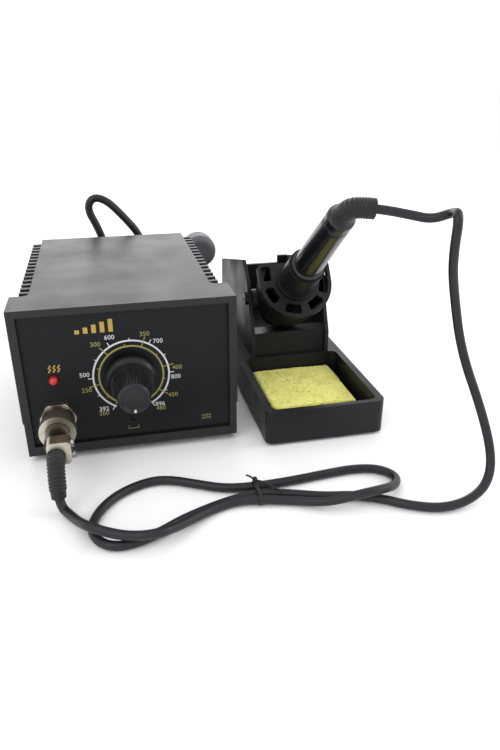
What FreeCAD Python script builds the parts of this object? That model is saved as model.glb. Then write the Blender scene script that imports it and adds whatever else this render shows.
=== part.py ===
"""Soldering station: control unit, iron, stand with sponge tray, and both leads.

Working frame while modelling: X to the right, Y into the depth, Z up from the table,
with zero at the middle of the control unit's front face. Everything is moved to the
middle of the whole set's footprint before it is written.
"""
import FreeCAD, Part
import math
import os
from FreeCAD import Vector as V

os.makedirs("parts", exist_ok=True)

# ---------------------------------------------------------------- control unit, mm
CASE_W = 120.0            # front flange width
CASE_H = 86.0             # case height without feet
CASE_D = 156.0            # case depth
FOOT_H = 4.0
FOOT_R = 6.0
FLANGE_D = 25.0           # depth of the full-width front flange
BODY_W = 100.0            # width of the cover behind the flange
RIB_REACH = 6.0           # how far the cooling ribs stand out from the cover
RIB_T = 3.6
RIB_COUNT = 15
RIB_FIRST = 34.0          # front face of the first rib
RIB_LAST = 146.0          # front face of the last rib
SPLIT_H = 21.0            # height of the lower shell
WALL = 2.4
BEZEL_SIDE = 4.5
BEZEL_TOP = 4.0
BEZEL_FOOT = 5.5
PANEL_RECESS = 2.5
PANEL_T = 2.0
SLIDE_GAP = 0.2           # clearance of a panel in its seat
VENT_H = 40.0
VENT_FOOT = 10.0          # above the lower shell

# front panel fittings: x and height above the table
DIAL_X, DIAL_Z = 0.3, 47.5
LED_X, LED_Z, LED_R = -40.9, 49.1, 2.5
CAL_X, CAL_Z, CAL_R = -0.5, 20.5, 1.6
SOCKET_X, SOCKET_Z = -40.8, 27.0
HOLE_GAP = 0.1
KNOB_R, KNOB_TIP_R, KNOB_L = 14.0, 8.4, 25.4
KNOB_SKIRT = 3.0
KNOB_FLUTES = 18
SHAFT_R, SHAFT_L = 3.0, 14.0
BUSH_R, BUSH_OUT = 3.6, 4.5
RUN_GAP = 0.05            # radial clearance of a running fit
THREAD_R = 8.0            # panel connector thread
SOCKET_OUT = 7.0
SOCKET_IN = 9.0
HEX_AF = 18.0
NUT_T = 5.0
RING_R, RING_L = 9.6, 14.0
RING_FLANGE = 6.0         # length of the wide front end of the coupling ring
RING_WALL = 0.65
BARREL_R, BARREL_L = 6.2, 13.0
CLAMP_L = 9.0
RELIEF_R = 4.6

# rear panel fittings
SWITCH_X, SWITCH_Z, SWITCH_W, SWITCH_HT = 26.0, 60.0, 13.0, 19.0
ROCKER_RAKE = 10.0
FUSE_X, FUSE_Z, FUSE_R = -2.0, 60.0, 6.0
GLAND_X, GLAND_Z, GLAND_R = -34.0, 26.0, 5.6

# ---------------------------------------------------------------- stand, mm
STAND_X = 111.25          # middle of the stand
STAND_W = 73.5
STAND_FRONT, STAND_REAR = -13.0, 178.0
STAND_FOOT, STAND_TOP = 1.5, 22.5
STAND_WALL = 2.5
STAND_CORNER = 5.0
WELL_W = 64.5
WELL_FRONT, WELL_REAR = -9.5, 65.5
WELL_FLOOR, WELL_FLOOR_T = 5.0, 1.5
SPONGE_W, SPONGE_D, SPONGE_T = 55.0, 56.5, 8.5
TOWER_W = 54.5            # outside
TOWER_WALL = 2.5
TOWER_FRONT, TOWER_REAR = 68.0, 172.0
PANEL_TOP = 39.0          # low front wall between the cheeks
KINK = (82.0, 72.5)
CREST = (95.5, 83.0)
TOWER_TAIL = 64.0
BACK_TOP = 58.5
TOWER_LIP = 10.0
TOWER_LIP_T = 2.0
TOWER_DECK_END = 80.0     # the low front wall turns back to here
TAB_X0, TAB_X1, TAB_H = 115.0, 133.0, 6.0

# holder: its middle, and the rake of the iron in degrees above level
HOLDER_Y, HOLDER_Z, RAKE = 60.0, 75.5, 37.0
PLATE_R, PLATE_T = 24.0, 5.0
BOWL_L, BOWL_TAIL_R, BOWL_WALL = 34.0, 16.0, 2.4
SNOUT_L, SNOUT_R, SNOUT_TIP_R = 27.0, 11.8, 11.4
SNOUT_STEP_R, SNOUT_STEP = 13.0, 3.0
PLATE_TOP = 13.2          # flat top edge of the plate above its middle
PLATE_CORNER = 3.0
SLOT_IN, SLOT_OUT, SLOT_HALF = 15.5, 21.5, 16.0
SLOT_ANGLES = (205.0, 257.0, 306.0, 349.0)
PIVOT_BACK = 24.7         # pivot behind the plate
PIVOT_BOSS_R, PIVOT_SCREW_R = 6.0, 2.0
GUARD_R, GUARD_WALL, GUARD_L = 9.6, 0.8, 28.0

# iron, measured along its axis from the holder plate's middle
SEAT_GAP = 0.3            # handle collar above the holder's mouth
NOSE_AT = PLATE_T / 2 + SNOUT_L + SEAT_GAP - 4.0
GRIP_END, RING_END = 90.5, 97.0
NOSE_R, TAIL_R = 8.8, 7.6
BORE_R = NOSE_R + 0.7     # the holder's bore follows the handle
IRON_RELIEF_R = 4.7
IRON_WALL = 1.8
BARREL_END, SLEEVE_R, TIP_R, TIP_END = -18.0, 3.6, 2.3, -58.0
SLEEVE_END = -44.0

# ---------------------------------------------------------------- leads, mm
CORD_R = 2.35
MAINS_R = 2.9
BEND_SHARE = 0.45         # part of the shorter run that a bend takes up
BUTT_GAP = 0.15           # between two faces that meet

TABLE_FOOT = 0.05
CORD_Z = CORD_R + TABLE_FOOT
TIE_Z = CORD_R + 0.85
OVER_Z = 9.8              # middle of a strand that passes over another
MAINS_Z = MAINS_R + TABLE_FOOT

# the iron's lead: control unit plug, over the table, and up to the meeting point
CORD_ROUTE = [
    (-41.2, -48.5, 8.5), (-40.4, -50.5, 3.6), (-37.2, -54.6, CORD_Z), (-32.5, -64.7, 4.6),
    (-27.1, -75.9, 9.0), (-20.5, -80.3, 8.6), (-13.0, -83.5, 7.6), (-6.4, -86.5, 8.2),
    (0.3, -88.4, 9.0), (7.7, -87.2, 9.0), (15.4, -80.1, 5.6), (29.3, -69.1, 2.8),
    (44.6, -63.3, CORD_Z), (57.0, -65.5, TIE_Z), (73.0, -69.0, CORD_Z), (90.0, -77.0, 4.0),
    (105.0, -81.5, OVER_Z), (118.0, -80.0, OVER_Z), (129.0, -71.5, 4.6), (134.5, -61.0, CORD_Z),
    (128.0, -52.0, CORD_Z), (115.5, -49.0, CORD_Z), (100.0, -50.0, CORD_Z), (80.0, -52.3, CORD_Z),
    (58.5, -54.3, TIE_Z), (42.1, -51.4, CORD_Z), (29.6, -44.8, CORD_Z), (14.9, -36.8, CORD_Z),
    (3.4, -36.0, CORD_Z), (-10.5, -42.6, CORD_Z), (-19.3, -51.5, CORD_Z), (-24.3, -60.8, CORD_Z),
    (-26.2, -68.7, CORD_Z), (-24.5, -76.9, CORD_Z), (-19.8, -82.7, CORD_Z),
    (-14.0, -85.0, CORD_Z), (-7.6, -84.4, CORD_Z), (-0.5, -82.1, CORD_Z), (7.5, -78.0, CORD_Z),
    (16.3, -72.6, CORD_Z), (25.9, -68.2, CORD_Z), (39.9, -62.9, CORD_Z), (57.5, -59.9, TIE_Z),
    (73.0, -63.0, CORD_Z), (90.0, -69.5, CORD_Z), (106.0, -72.0, CORD_Z), (118.5, -78.0, CORD_Z),
    (130.0, -86.5, CORD_Z), (145.0, -92.5, CORD_Z), (160.0, -91.5, 4.0), (172.5, -86.5, 9.0),
    (177.0, -79.5, 21.0), (173.0, -69.8, 43.0), (165.8, -54.4, 70.5), (162.3, -52.6, 87.0),
]
# from the meeting point to the iron's strain relief
CORD_END_ROUTE = [
    (162.3, -52.6, 87.0), (158.4, -50.6, 105.3), (154.2, -54.5, 121.0), (153.8, -55.8, 140.2),
    (157.5, -44.5, 139.0), (150.1, -38.0, 134.4), (141.5, -32.2, 135.8), (129.8, -29.5, 138.1),
    (123.4, -28.6, 138.9),
]
PLUG_RELIEF_ROUTE = [(-40.9, -42.5, 25.0), (-41.1, -47.3, 18.5), (-41.2, -48.5, 8.5)]
IRON_RELIEF_ROUTE = [
    (111.25, -17.53, 133.93), (111.25, -23.3, 138.27), (116.2, -27.6, 139.8), (123.4, -28.6, 138.9),
]
# the mains lead: rear gland to the hank, the hank's high loop, and the hank to the plug
MAINS_ROUTE = [
    (GLAND_X, 183.0, 22.0), (-34.5, 197.0, 17.0), (-30.5, 209.0, 7.0), (-19.0, 216.0, MAINS_Z),
    (-4.0, 213.5, MAINS_Z), (7.0, 202.0, MAINS_Z), (13.0, 186.0, 6.5),
]
LOOP_ROUTE = [
    (-6.0, 176.0, 77.0), (-10.0, 176.0, 92.0), (-17.0, 176.0, 107.0), (-12.0, 176.0, 115.5),
    (-2.0, 176.0, 112.5), (8.5, 176.0, 101.0), (20.5, 176.0, 86.0), (23.0, 176.0, 72.0),
]
MAINS_TAIL_ROUTE = [
    (29.5, 174.0, 52.0), (37.5, 173.5, 60.5), (46.5, 173.0, 68.0),
]
HANK_Y, HANK_T, HANK_END_R = 176.0, 17.8, 20.4
HANK_LOW, HANK_HIGH = (22.0, 20.5), (8.0, 64.0)
PLUG_X, PLUG_Y, PLUG_Z, PLUG_BODY_R, PLUG_BODY_T = 66.0, 172.5, 72.0, 12.5, 17.0

# ---------------------------------------------------------------- worked-out sizes
CASE_FOOT = FOOT_H
CASE_TOP = FOOT_H + CASE_H
SPLIT_Z = FOOT_H + SPLIT_H
BODY_X = BODY_W / 2
RIB_X = BODY_X + RIB_REACH
PANEL_Y = PANEL_RECESS + PANEL_T          # inner face of the front panel
TOWER_X = TOWER_W / 2
TOWER_INNER = TOWER_X - TOWER_WALL

nodes = {}


def add(name, shape):
    """Keep a finished piece under its node name."""
    nodes[name] = shape.removeSplitter() if shape.ShapeType == "Solid" else shape


def box(x0, x1, y0, y1, z0, z1):
    """A plain block between two corners."""
    return Part.makeBox(x1 - x0, y1 - y0, z1 - z0, V(x0, y0, z0))


def cyl(at, axis, r, length):
    """A cylinder from a point along an axis."""
    return Part.makeCylinder(r, length, V(*at), V(*axis))


def tube(at, axis, outer, inner, length):
    """A hollow cylinder."""
    return cyl(at, axis, outer, length).cut(cyl(at, axis, inner, length))


def cone(at, axis, r0, r1, length):
    """A cone frustum from radius r0 to r1."""
    return Part.makeCone(r0, r1, length, V(*at), V(*axis))


def upright_edges(shape, test=lambda x, y: True):
    """The straight edges along Z whose place passes the test."""
    found = []
    for edge in shape.Edges:
        a, b = edge.Vertexes[0].Point, edge.Vertexes[-1].Point
        if abs(a.x - b.x) < 1e-6 and abs(a.y - b.y) < 1e-6 and abs(a.z - b.z) > 1e-6:
            if test(a.x, a.y):
                found.append(edge)
    return found


def rounded(x0, x1, y0, y1, z0, z1, r):
    """A block with rounded upright corners."""
    block = box(x0, x1, y0, y1, z0, z1)
    return block.makeFillet(r, upright_edges(block))


def prism(points, axis, depth):
    """A polygon through 3-D points, extruded along an axis."""
    wire = Part.makePolygon([V(*p) for p in points] + [V(*points[0])])
    return Part.Face(wire).extrude(V(*axis).multiply(depth))


def hexagon(at, axis_y, across_flats, thickness):
    """A hexagonal nut blank whose axis lies along Y."""
    r = across_flats / math.sqrt(3)
    corners = []
    for k in range(6):
        a = math.radians(60 * k)
        corners.append((at[0] + r * math.cos(a), at[1], at[2] + r * math.sin(a)))
    return prism(corners, (0, axis_y, 0), thickness)


def revolve_y(profile, x, z):
    """Turn (radius, y) points about a line along Y."""
    points = [V(x + r, y, z) for r, y in profile]
    face = Part.Face(Part.makePolygon(points + [points[0]]))
    return face.revolve(V(x, 0, z), V(0, 1, 0), 360)


def revolve_z(profile):
    """Turn (radius, z) points about the Z axis."""
    points = [V(r, 0, z) for r, z in profile]
    face = Part.Face(Part.makePolygon(points + [points[0]]))
    return face.revolve(V(0, 0, 0), V(0, 0, 1), 360)


def to_holder(shape):
    """Turn a shape from the holder's frame (Z along the iron) to its place."""
    placed = shape.copy()
    placed.rotate(V(0, 0, 0), V(1, 0, 0), 90 - RAKE)
    placed.translate(V(STAND_X, HOLDER_Y, HOLDER_Z))
    return placed


def along_iron(distance):
    """The point on the iron's axis at a distance from the holder plate."""
    a = math.radians(RAKE)
    return (STAND_X, HOLDER_Y - distance * math.cos(a), HOLDER_Z + distance * math.sin(a))


def lead(name, route, radius):
    """A tube along straight runs joined by tangent arcs; prints its bend radii."""
    points = [V(*p) for p in route]
    edges, radii, start = [], [], points[0]
    for before, here, after in zip(points, points[1:], points[2:]):
        back, on = (before - here), (after - here)
        shorter = min(back.Length, on.Length)
        back.normalize()
        on.normalize()
        turn = math.pi - back.getAngle(on)
        setback = BEND_SHARE * shorter
        bend = setback / math.tan(turn / 2)
        first, last = here + back * setback, here + on * setback
        inward = (back + on).normalize()
        middle = here + inward * (bend / math.cos(turn / 2) - bend)
        edges.append(Part.LineSegment(start, first).toShape())
        edges.append(Part.Arc(first, middle, last).toShape())
        radii.append(bend)
        start = last
    edges.append(Part.LineSegment(start, points[-1]).toShape())
    path = Part.Wire(edges)
    section = Part.Wire([Part.Circle(points[0], points[1] - points[0], radius).toShape()])
    solid = path.makePipeShell([section], True, False)
    expected = math.pi * radius ** 2 * path.Length
    print("%s: length %.1f, volume ratio %.4f, least bend %.1f, bends %s" % (
        name, path.Length, solid.Volume / expected, min(radii),
        " ".join("%.0f" % r for r in radii)))
    return solid


# ================================================================ control unit
def upper_case():
    """Cover: full-width front flange, narrower body, cooling ribs, vents between them."""
    flange = box(-CASE_W / 2, CASE_W / 2, 0, FLANGE_D, SPLIT_Z, CASE_TOP)
    body = box(-BODY_X, BODY_X, FLANGE_D, CASE_D, SPLIT_Z, CASE_TOP)
    shell = flange.fuse(body).removeSplitter()
    inner = upright_edges(shell, lambda x, y: abs(abs(x) - BODY_X) < 0.1 and abs(y - FLANGE_D) < 0.1)
    shell = shell.makeFillet(4.0, inner)
    ledge = box(-RIB_X, RIB_X, FLANGE_D, CASE_D, SPLIT_Z, SPLIT_Z + WALL)
    pitch = (RIB_LAST - RIB_FIRST) / (RIB_COUNT - 1)
    ribs, vents = [], []
    for k in range(RIB_COUNT):
        y = RIB_FIRST + k * pitch
        ribs.append(box(-RIB_X, RIB_X, y, y + RIB_T, SPLIT_Z + WALL, CASE_TOP - 1.5))
        if k < RIB_COUNT - 1:
            low = SPLIT_Z + VENT_FOOT
            vents.append(box(-CASE_W / 2, CASE_W / 2, y + RIB_T + 0.4, y + pitch - 0.4,
                             low, low + VENT_H))
    cavity = box(-BODY_X + WALL, BODY_X - WALL, FLANGE_D, CASE_D, SPLIT_Z, CASE_TOP - WALL)
    cheek = box(-CASE_W / 2 + WALL, CASE_W / 2 - WALL, PANEL_RECESS, FLANGE_D - WALL,
                SPLIT_Z, CASE_TOP - WALL)
    mouth = box(-CASE_W / 2 + BEZEL_SIDE, CASE_W / 2 - BEZEL_SIDE, 0, PANEL_RECESS,
                SPLIT_Z, CASE_TOP - BEZEL_TOP)
    throat = box(-BODY_X + WALL, BODY_X - WALL, FLANGE_D - WALL, FLANGE_D, SPLIT_Z, CASE_TOP - WALL)
    shell = shell.fuse([ledge] + ribs)
    return shell.cut([cavity, cheek, mouth, throat] + vents).removeSplitter()


def lower_case():
    """Tray: floor, low walls, rear frame, screw posts and board posts."""
    front = box(-CASE_W / 2 + 0.5, CASE_W / 2 - 0.5, 0.5, FLANGE_D, CASE_FOOT, SPLIT_Z)
    body = box(-RIB_X, RIB_X, FLANGE_D, CASE_D, CASE_FOOT, SPLIT_Z)
    shell = front.fuse(body)
    floor = CASE_FOOT + WALL
    cuts = [
        box(-CASE_W / 2 + WALL, CASE_W / 2 - WALL, PANEL_RECESS, FLANGE_D - WALL, floor, SPLIT_Z),
        box(-RIB_X + WALL, RIB_X - WALL, FLANGE_D - WALL, CASE_D - WALL, floor, SPLIT_Z),
        box(-CASE_W / 2 + BEZEL_SIDE, CASE_W / 2 - BEZEL_SIDE, 0, PANEL_RECESS,
            CASE_FOOT + BEZEL_FOOT, SPLIT_Z),
        box(-BODY_X + WALL, BODY_X - WALL, CASE_D - WALL, CASE_D, floor, SPLIT_Z),
    ]
    posts = [cyl((x, y, floor), (0, 0, 1), 3.2, 6.0) for x, y in BOARD_POSTS]
    return shell.cut(cuts).fuse(posts).removeSplitter()


BOARD_POSTS = [(-36.0, 24.0), (36.0, 24.0), (-36.0, 74.0), (36.0, 74.0)]
BOARD_Z = CASE_FOOT + WALL + 6.0
BOARD_T = 1.6


def front_panel():
    """Recessed control plate with its five holes."""
    panel = box(-CASE_W / 2 + WALL + SLIDE_GAP, CASE_W / 2 - WALL - SLIDE_GAP,
                PANEL_RECESS, PANEL_Y, CASE_FOOT + WALL + SLIDE_GAP, CASE_TOP - WALL - SLIDE_GAP)
    holes = [(DIAL_X, DIAL_Z, BUSH_R), (LED_X, LED_Z, LED_R), (CAL_X, CAL_Z, CAL_R),
             (SOCKET_X, SOCKET_Z, THREAD_R)]
    return panel.cut([cyl((x, PANEL_RECESS, z), (0, 1, 0), r + HOLE_GAP, PANEL_T)
                      for x, z, r in holes])


REAR_Y = CASE_D - WALL - 0.6              # outer face of the rear panel


def rear_panel():
    """Rear plate with the switch window and the fuse and gland holes."""
    half = BODY_X - WALL - SLIDE_GAP
    plate = box(-half, half, REAR_Y - PANEL_T, REAR_Y,
                CASE_FOOT + WALL + SLIDE_GAP, CASE_TOP - WALL - SLIDE_GAP)
    window = box(SWITCH_X - SWITCH_W / 2 - HOLE_GAP, SWITCH_X + SWITCH_W / 2 + HOLE_GAP,
                 REAR_Y - PANEL_T, REAR_Y,
                 SWITCH_Z - SWITCH_HT / 2 - HOLE_GAP, SWITCH_Z + SWITCH_HT / 2 + HOLE_GAP)
    fuse = cyl((FUSE_X, REAR_Y - PANEL_T, FUSE_Z), (0, 1, 0), FUSE_R + HOLE_GAP, PANEL_T)
    gland = cyl((GLAND_X, REAR_Y - PANEL_T, GLAND_Z), (0, 1, 0), GLAND_R + HOLE_GAP, PANEL_T)
    return plate.cut([window, fuse, gland])


def case_fastenings():
    """Rubber feet under the tray."""
    corners = [(x, y) for x in (-44.0, 44.0) for y in (14.0, 142.0)]
    feet = [cyl((x, y, 0), (0, 0, 1), FOOT_R, FOOT_H - 1).fuse(
        cone((x, y, FOOT_H - 1), (0, 0, 1), FOOT_R, FOOT_R - 0.6, 1)) for x, y in corners]
    add("rubber_feet", Part.makeCompound(feet))


def transformer():
    """Laminated core, wound bobbin and the strap that screws it to the tray."""
    x, y = 2.0, 112.0
    floor = CASE_FOOT + WALL
    foot, core_h, core_w, core_t = 1.5, 50.0, 60.0, 22.0
    z0 = floor + foot
    core = box(x - core_w / 2, x + core_w / 2, y - core_t / 2, y + core_t / 2, z0, z0 + core_h)
    windows = [box(x + s * 15 - 5, x + s * 15 + 5, y - core_t / 2, y + core_t / 2,
                   z0 + 10, z0 + core_h - 10) for s in (-1, 1)]
    add("transformer_core", core.cut(windows))
    limb = box(x - 10, x + 10, y - core_t / 2, y + core_t / 2, z0 + 10, z0 + core_h - 10)
    coil = rounded(x - 19.8, x + 19.8, y - 21, y + 21, z0 + 10.2, z0 + core_h - 10.2, 5)
    hollow = box(x - 10.2, x + 10.2, y - core_t / 2 - 0.2, y + core_t / 2 + 0.2, z0, z0 + core_h)
    legs = [box(x + s * 30 - 10.2, x + s * 30 + 10.2, y - core_t / 2 - 0.2, y + core_t / 2 + 0.2,
                z0, z0 + core_h) for s in (-1, 1)]
    add("transformer_winding", coil.cut([hollow] + legs))
    t, lap = 1.5, 12.0
    top = z0 + core_h
    strap = [
        box(x - core_w / 2 - t, x + core_w / 2 + t, y - 5, y + 5, top, top + t),
        box(x - core_w / 2 - t, x - core_w / 2, y - 5, y + 5, floor, top),
        box(x + core_w / 2, x + core_w / 2 + t, y - 5, y + 5, floor, top),
        box(x - core_w / 2 - lap, x - core_w / 2 - t, y - 5, y + 5, floor, floor + t),
        box(x + core_w / 2 + t, x + core_w / 2 + lap, y - 5, y + 5, floor, floor + t),
        box(x - core_w / 2, x + core_w / 2, y - 5, y + 5, floor, z0),
    ]
    add("transformer_bracket", strap[0].fuse(strap[1:]).removeSplitter())
    return [cyl((x + s * (core_w / 2 + 7), y, floor + t), (0, 0, 1), 2.8, 2.0) for s in (-1, 1)]


def electronics():
    """Transformer, control board with its parts, and the screws of both."""
    bracket_screws = transformer()
    board = box(-42, 42, 18, 80, BOARD_Z, BOARD_Z + BOARD_T)
    holes = [cyl((x, y, BOARD_Z), (0, 0, 1), 1.6, BOARD_T) for x, y in BOARD_POSTS]
    add("control_board", board.cut(holes))
    top = BOARD_Z + BOARD_T
    parts = [
        cyl((-24, 62, top), (0, 0, 1), 6.5, 20),
        box(-6, 4, 60, 70, top, top + 15),
        box(-12, 8, 36, 42.5, top, top + 4),
        box(16, 36, 34, 46, top, top + 16),
        cyl((18, 64, top), (0, 0, 1), 4, 11),
    ]
    add("board_parts", Part.makeCompound(parts))
    sink = box(28, 34, 56, 72, top, top + 24)
    slots = [box(30, 34, 57.5 + 4 * k, 59.5 + 4 * k, top, top + 24) for k in range(4)]
    add("heat_sink", sink.cut(slots))
    screws = [cyl((x, y, top), (0, 0, 1), 2.7, 1.8).fuse(
        cyl((x, y, BOARD_Z), (0, 0, 1), 1.5, BOARD_T)) for x, y in BOARD_POSTS]
    add("inner_screws", Part.makeCompound(screws + bracket_screws))


def dial():
    """Potentiometer behind the panel, its nut, its shaft and the knob."""
    body = cyl((DIAL_X, PANEL_Y, DIAL_Z), (0, 1, 0), 8.5, 9)
    bush = cyl((DIAL_X, PANEL_RECESS - BUSH_OUT, DIAL_Z), (0, 1, 0), BUSH_R, BUSH_OUT + PANEL_T)
    bore = cyl((DIAL_X, PANEL_RECESS - BUSH_OUT, DIAL_Z), (0, 1, 0), SHAFT_R + RUN_GAP,
               BUSH_OUT + PANEL_T + 6)
    lugs = box(DIAL_X - 7, DIAL_X + 7, PANEL_Y + 3, PANEL_Y + 4, DIAL_Z - 14, DIAL_Z)
    add("potentiometer", body.fuse([bush, lugs]).cut(bore).removeSplitter())
    nut = hexagon((DIAL_X, PANEL_RECESS, DIAL_Z), -1, 10.0, 2.2)
    add("potentiometer_nut", nut.cut(cyl((DIAL_X, PANEL_RECESS - 3, DIAL_Z), (0, 1, 0),
                                         BUSH_R + 0.02, 4)))
    shaft_end = PANEL_RECESS - BUSH_OUT - SHAFT_L
    shaft = cyl((DIAL_X, shaft_end, DIAL_Z), (0, 1, 0), SHAFT_R, SHAFT_L + BUSH_OUT + PANEL_T + 5)
    add("dial_shaft", shaft)
    back = PANEL_RECESS - BUSH_OUT - 0.4
    tip = back - KNOB_L
    profile = [
        (0, tip), (KNOB_TIP_R - 1.2, tip), (KNOB_TIP_R, tip + 1.2), (KNOB_R - 3.6, back - KNOB_SKIRT),
        (KNOB_R, back - KNOB_SKIRT + 0.6), (KNOB_R, back), (0, back),
    ]
    knob = revolve_y(profile, DIAL_X, DIAL_Z)
    flutes = []
    for k in range(KNOB_FLUTES):
        a = 2 * math.pi * (k + 0.5) / KNOB_FLUTES
        r0, r1 = KNOB_TIP_R + 0.9, KNOB_R - 2.7
        base = V(DIAL_X + r0 * math.cos(a), tip, DIAL_Z + r0 * math.sin(a))
        end = V(DIAL_X + r1 * math.cos(a), back - KNOB_SKIRT, DIAL_Z + r1 * math.sin(a))
        flutes.append(Part.makeCylinder(1.25, (end - base).Length, base, end - base))
    bore = cyl((DIAL_X, shaft_end, DIAL_Z), (0, 1, 0), SHAFT_R, back - shaft_end)
    add("temperature_knob", knob.cut(flutes + [bore]))


def indicator():
    """Lamp in the panel, its collar behind it, and the calibration trimmer."""
    dome = Part.makeSphere(LED_R, V(LED_X, PANEL_RECESS - 1.2, LED_Z))
    dome = dome.common(box(LED_X - 4, LED_X + 4, -5, PANEL_RECESS - 1.2, LED_Z - 4, LED_Z + 4))
    stem = cyl((LED_X, PANEL_RECESS - 1.2, LED_Z), (0, 1, 0), LED_R, PANEL_T + 1.2)
    rim = cyl((LED_X, PANEL_Y, LED_Z), (0, 1, 0), LED_R + 0.4, 1.0)
    legs = [box(LED_X + s * 1.27 - 0.25, LED_X + s * 1.27 + 0.25, PANEL_Y + 1, PANEL_Y + 9,
                LED_Z - 0.25, LED_Z + 0.25) for s in (-1, 1)]
    add("indicator_lamp", Part.makeCompound([dome.fuse([stem, rim]).removeSplitter()] + legs))
    bezel = tube((LED_X, PANEL_Y + 1.0, LED_Z), (0, 1, 0), LED_R + 1.6, LED_R - 0.9, 3.0)
    add("lamp_holder", bezel)
    body = box(CAL_X - 4.5, CAL_X + 4.5, PANEL_Y + 1.2, PANEL_Y + 6.2, CAL_Z - 4.5, CAL_Z + 4.5)
    seat = cyl((CAL_X, PANEL_Y + 1.2, CAL_Z), (0, 1, 0), CAL_R + RUN_GAP, 2.0)
    post = box(CAL_X - 4.5, CAL_X + 4.5, PANEL_Y + 6.2, PANEL_Y + 7.8, BOARD_Z + BOARD_T, CAL_Z + 8)
    stay = box(CAL_X - 4.5, CAL_X + 4.5, PANEL_Y + 6.2, 20.0, BOARD_Z + BOARD_T, BOARD_Z + BOARD_T + 1.5)
    add("trimmer_body", body.cut(seat).fuse([post, stay]).removeSplitter())
    rotor = cyl((CAL_X, PANEL_RECESS + 0.6, CAL_Z), (0, 1, 0), CAL_R, PANEL_T + 2.6)
    slot = box(CAL_X - 0.3, CAL_X + 0.3, PANEL_RECESS, PANEL_RECESS + 1.6, CAL_Z - 2, CAL_Z + 2)
    add("trimmer_rotor", rotor.cut(slot))


def connector():
    """Panel socket with its hex nut, and the lead's plug with ring, clamp and relief."""
    x, z = SOCKET_X, SOCKET_Z
    face = PANEL_RECESS
    shell = tube((x, face - SOCKET_OUT, z), (0, 1, 0), THREAD_R, 6.6, SOCKET_OUT + SOCKET_IN)
    flange = tube((x, PANEL_Y, z), (0, 1, 0), 9.8, 6.6, 1.8)
    add("socket_shell", shell.fuse(flange).removeSplitter())
    pins, holes = [], []
    for k in range(5):
        a = 2 * math.pi * k / 5 + math.pi / 2
        px, pz = x + 3.8 * math.cos(a), z + 3.8 * math.sin(a)
        pins.append(cyl((px, face - 5, pz), (0, 1, 0), 0.75, 18))
        holes.append(cyl((px, face - 1, pz), (0, 1, 0), 0.77, 8))
    add("socket_insert", cyl((x, face - 1, z), (0, 1, 0), 6.55, 8).cut(holes))
    add("socket_pins", Part.makeCompound(pins))
    nut = hexagon((x, face, z), -1, HEX_AF, NUT_T)
    dome = revolve_y([(0, face), (11.2, face), (11.2, face - 1.6), (9.6, face - NUT_T),
                      (0, face - NUT_T)], x, z)
    nut = nut.common(dome).cut(cyl((x, face - NUT_T, z), (0, 1, 0), THREAD_R + 0.02, NUT_T))
    add("socket_nut", nut)
    ring_back = face - NUT_T - 0.6
    ring_front = ring_back - RING_L
    bore_r = THREAD_R + 0.25
    ring = tube((x, ring_front, z), (0, 1, 0), bore_r + RING_WALL, bore_r, RING_L)
    flange = tube((x, ring_front, z), (0, 1, 0), RING_R, bore_r, RING_FLANGE)
    lip = tube((x, ring_front, z), (0, 1, 0), RING_R, BARREL_R + 0.15, 2.0)
    grooves = []
    for k in range(36):
        a = 2 * math.pi * k / 36
        grooves.append(cyl((x + (RING_R + 0.25) * math.cos(a), ring_front + 1.0,
                            z + (RING_R + 0.25) * math.sin(a)), (0, 1, 0), 0.4, RING_FLANGE))
    add("coupling_ring", ring.fuse([flange, lip]).cut(grooves).removeSplitter())
    collar_front = ring_front + 2.2
    collar_back = face - SOCKET_OUT - 0.15
    barrel_end = ring_front - BARREL_L
    collar = cyl((x, collar_front, z), (0, 1, 0), THREAD_R, collar_back - collar_front)
    barrel = cyl((x, barrel_end, z), (0, 1, 0), BARREL_R, collar_front - barrel_end)
    bore = cyl((x, barrel_end + 3, z), (0, 1, 0), BARREL_R - 1.0, collar_back - barrel_end)
    throat = cyl((x, barrel_end, z), (0, 1, 0), CORD_R + 0.2, 4)
    add("plug_barrel", collar.fuse(barrel).cut([bore, throat]).removeSplitter())
    clamp_end = barrel_end - CLAMP_L
    saddle = box(x - 4.2, x + 7.6, clamp_end + 0.8, barrel_end - BUTT_GAP, z - 6.2, z + 6.2)
    saddle = saddle.makeFillet(2.4, [e for e in saddle.Edges if abs(
        e.Vertexes[0].Point.y - e.Vertexes[-1].Point.y) > 1])
    hole = cyl((x, clamp_end, z - 1.5), (0, 1, 0), RELIEF_R + 0.1, CLAMP_L)
    add("cable_clamp", saddle.cut(hole))
    screws = []
    for s in (-1, 1):
        at = (x + 7.6, (clamp_end + 0.8 + barrel_end) / 2, z + s * 3.4)
        head = cyl(at, (1, 0, 0), 2.1, 1.6)
        slot = box(at[0] + 0.9, at[0] + 1.7, at[1] - 2.5, at[1] + 2.5, at[2] - 0.35, at[2] + 0.35)
        screws.append(head.cut(slot))
    add("clamp_screws", Part.makeCompound(screws))
    route = [(x, barrel_end - 0.3, z - 1.5)] + PLUG_RELIEF_ROUTE
    add("plug_relief", lead("plug_relief", route, RELIEF_R))


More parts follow.
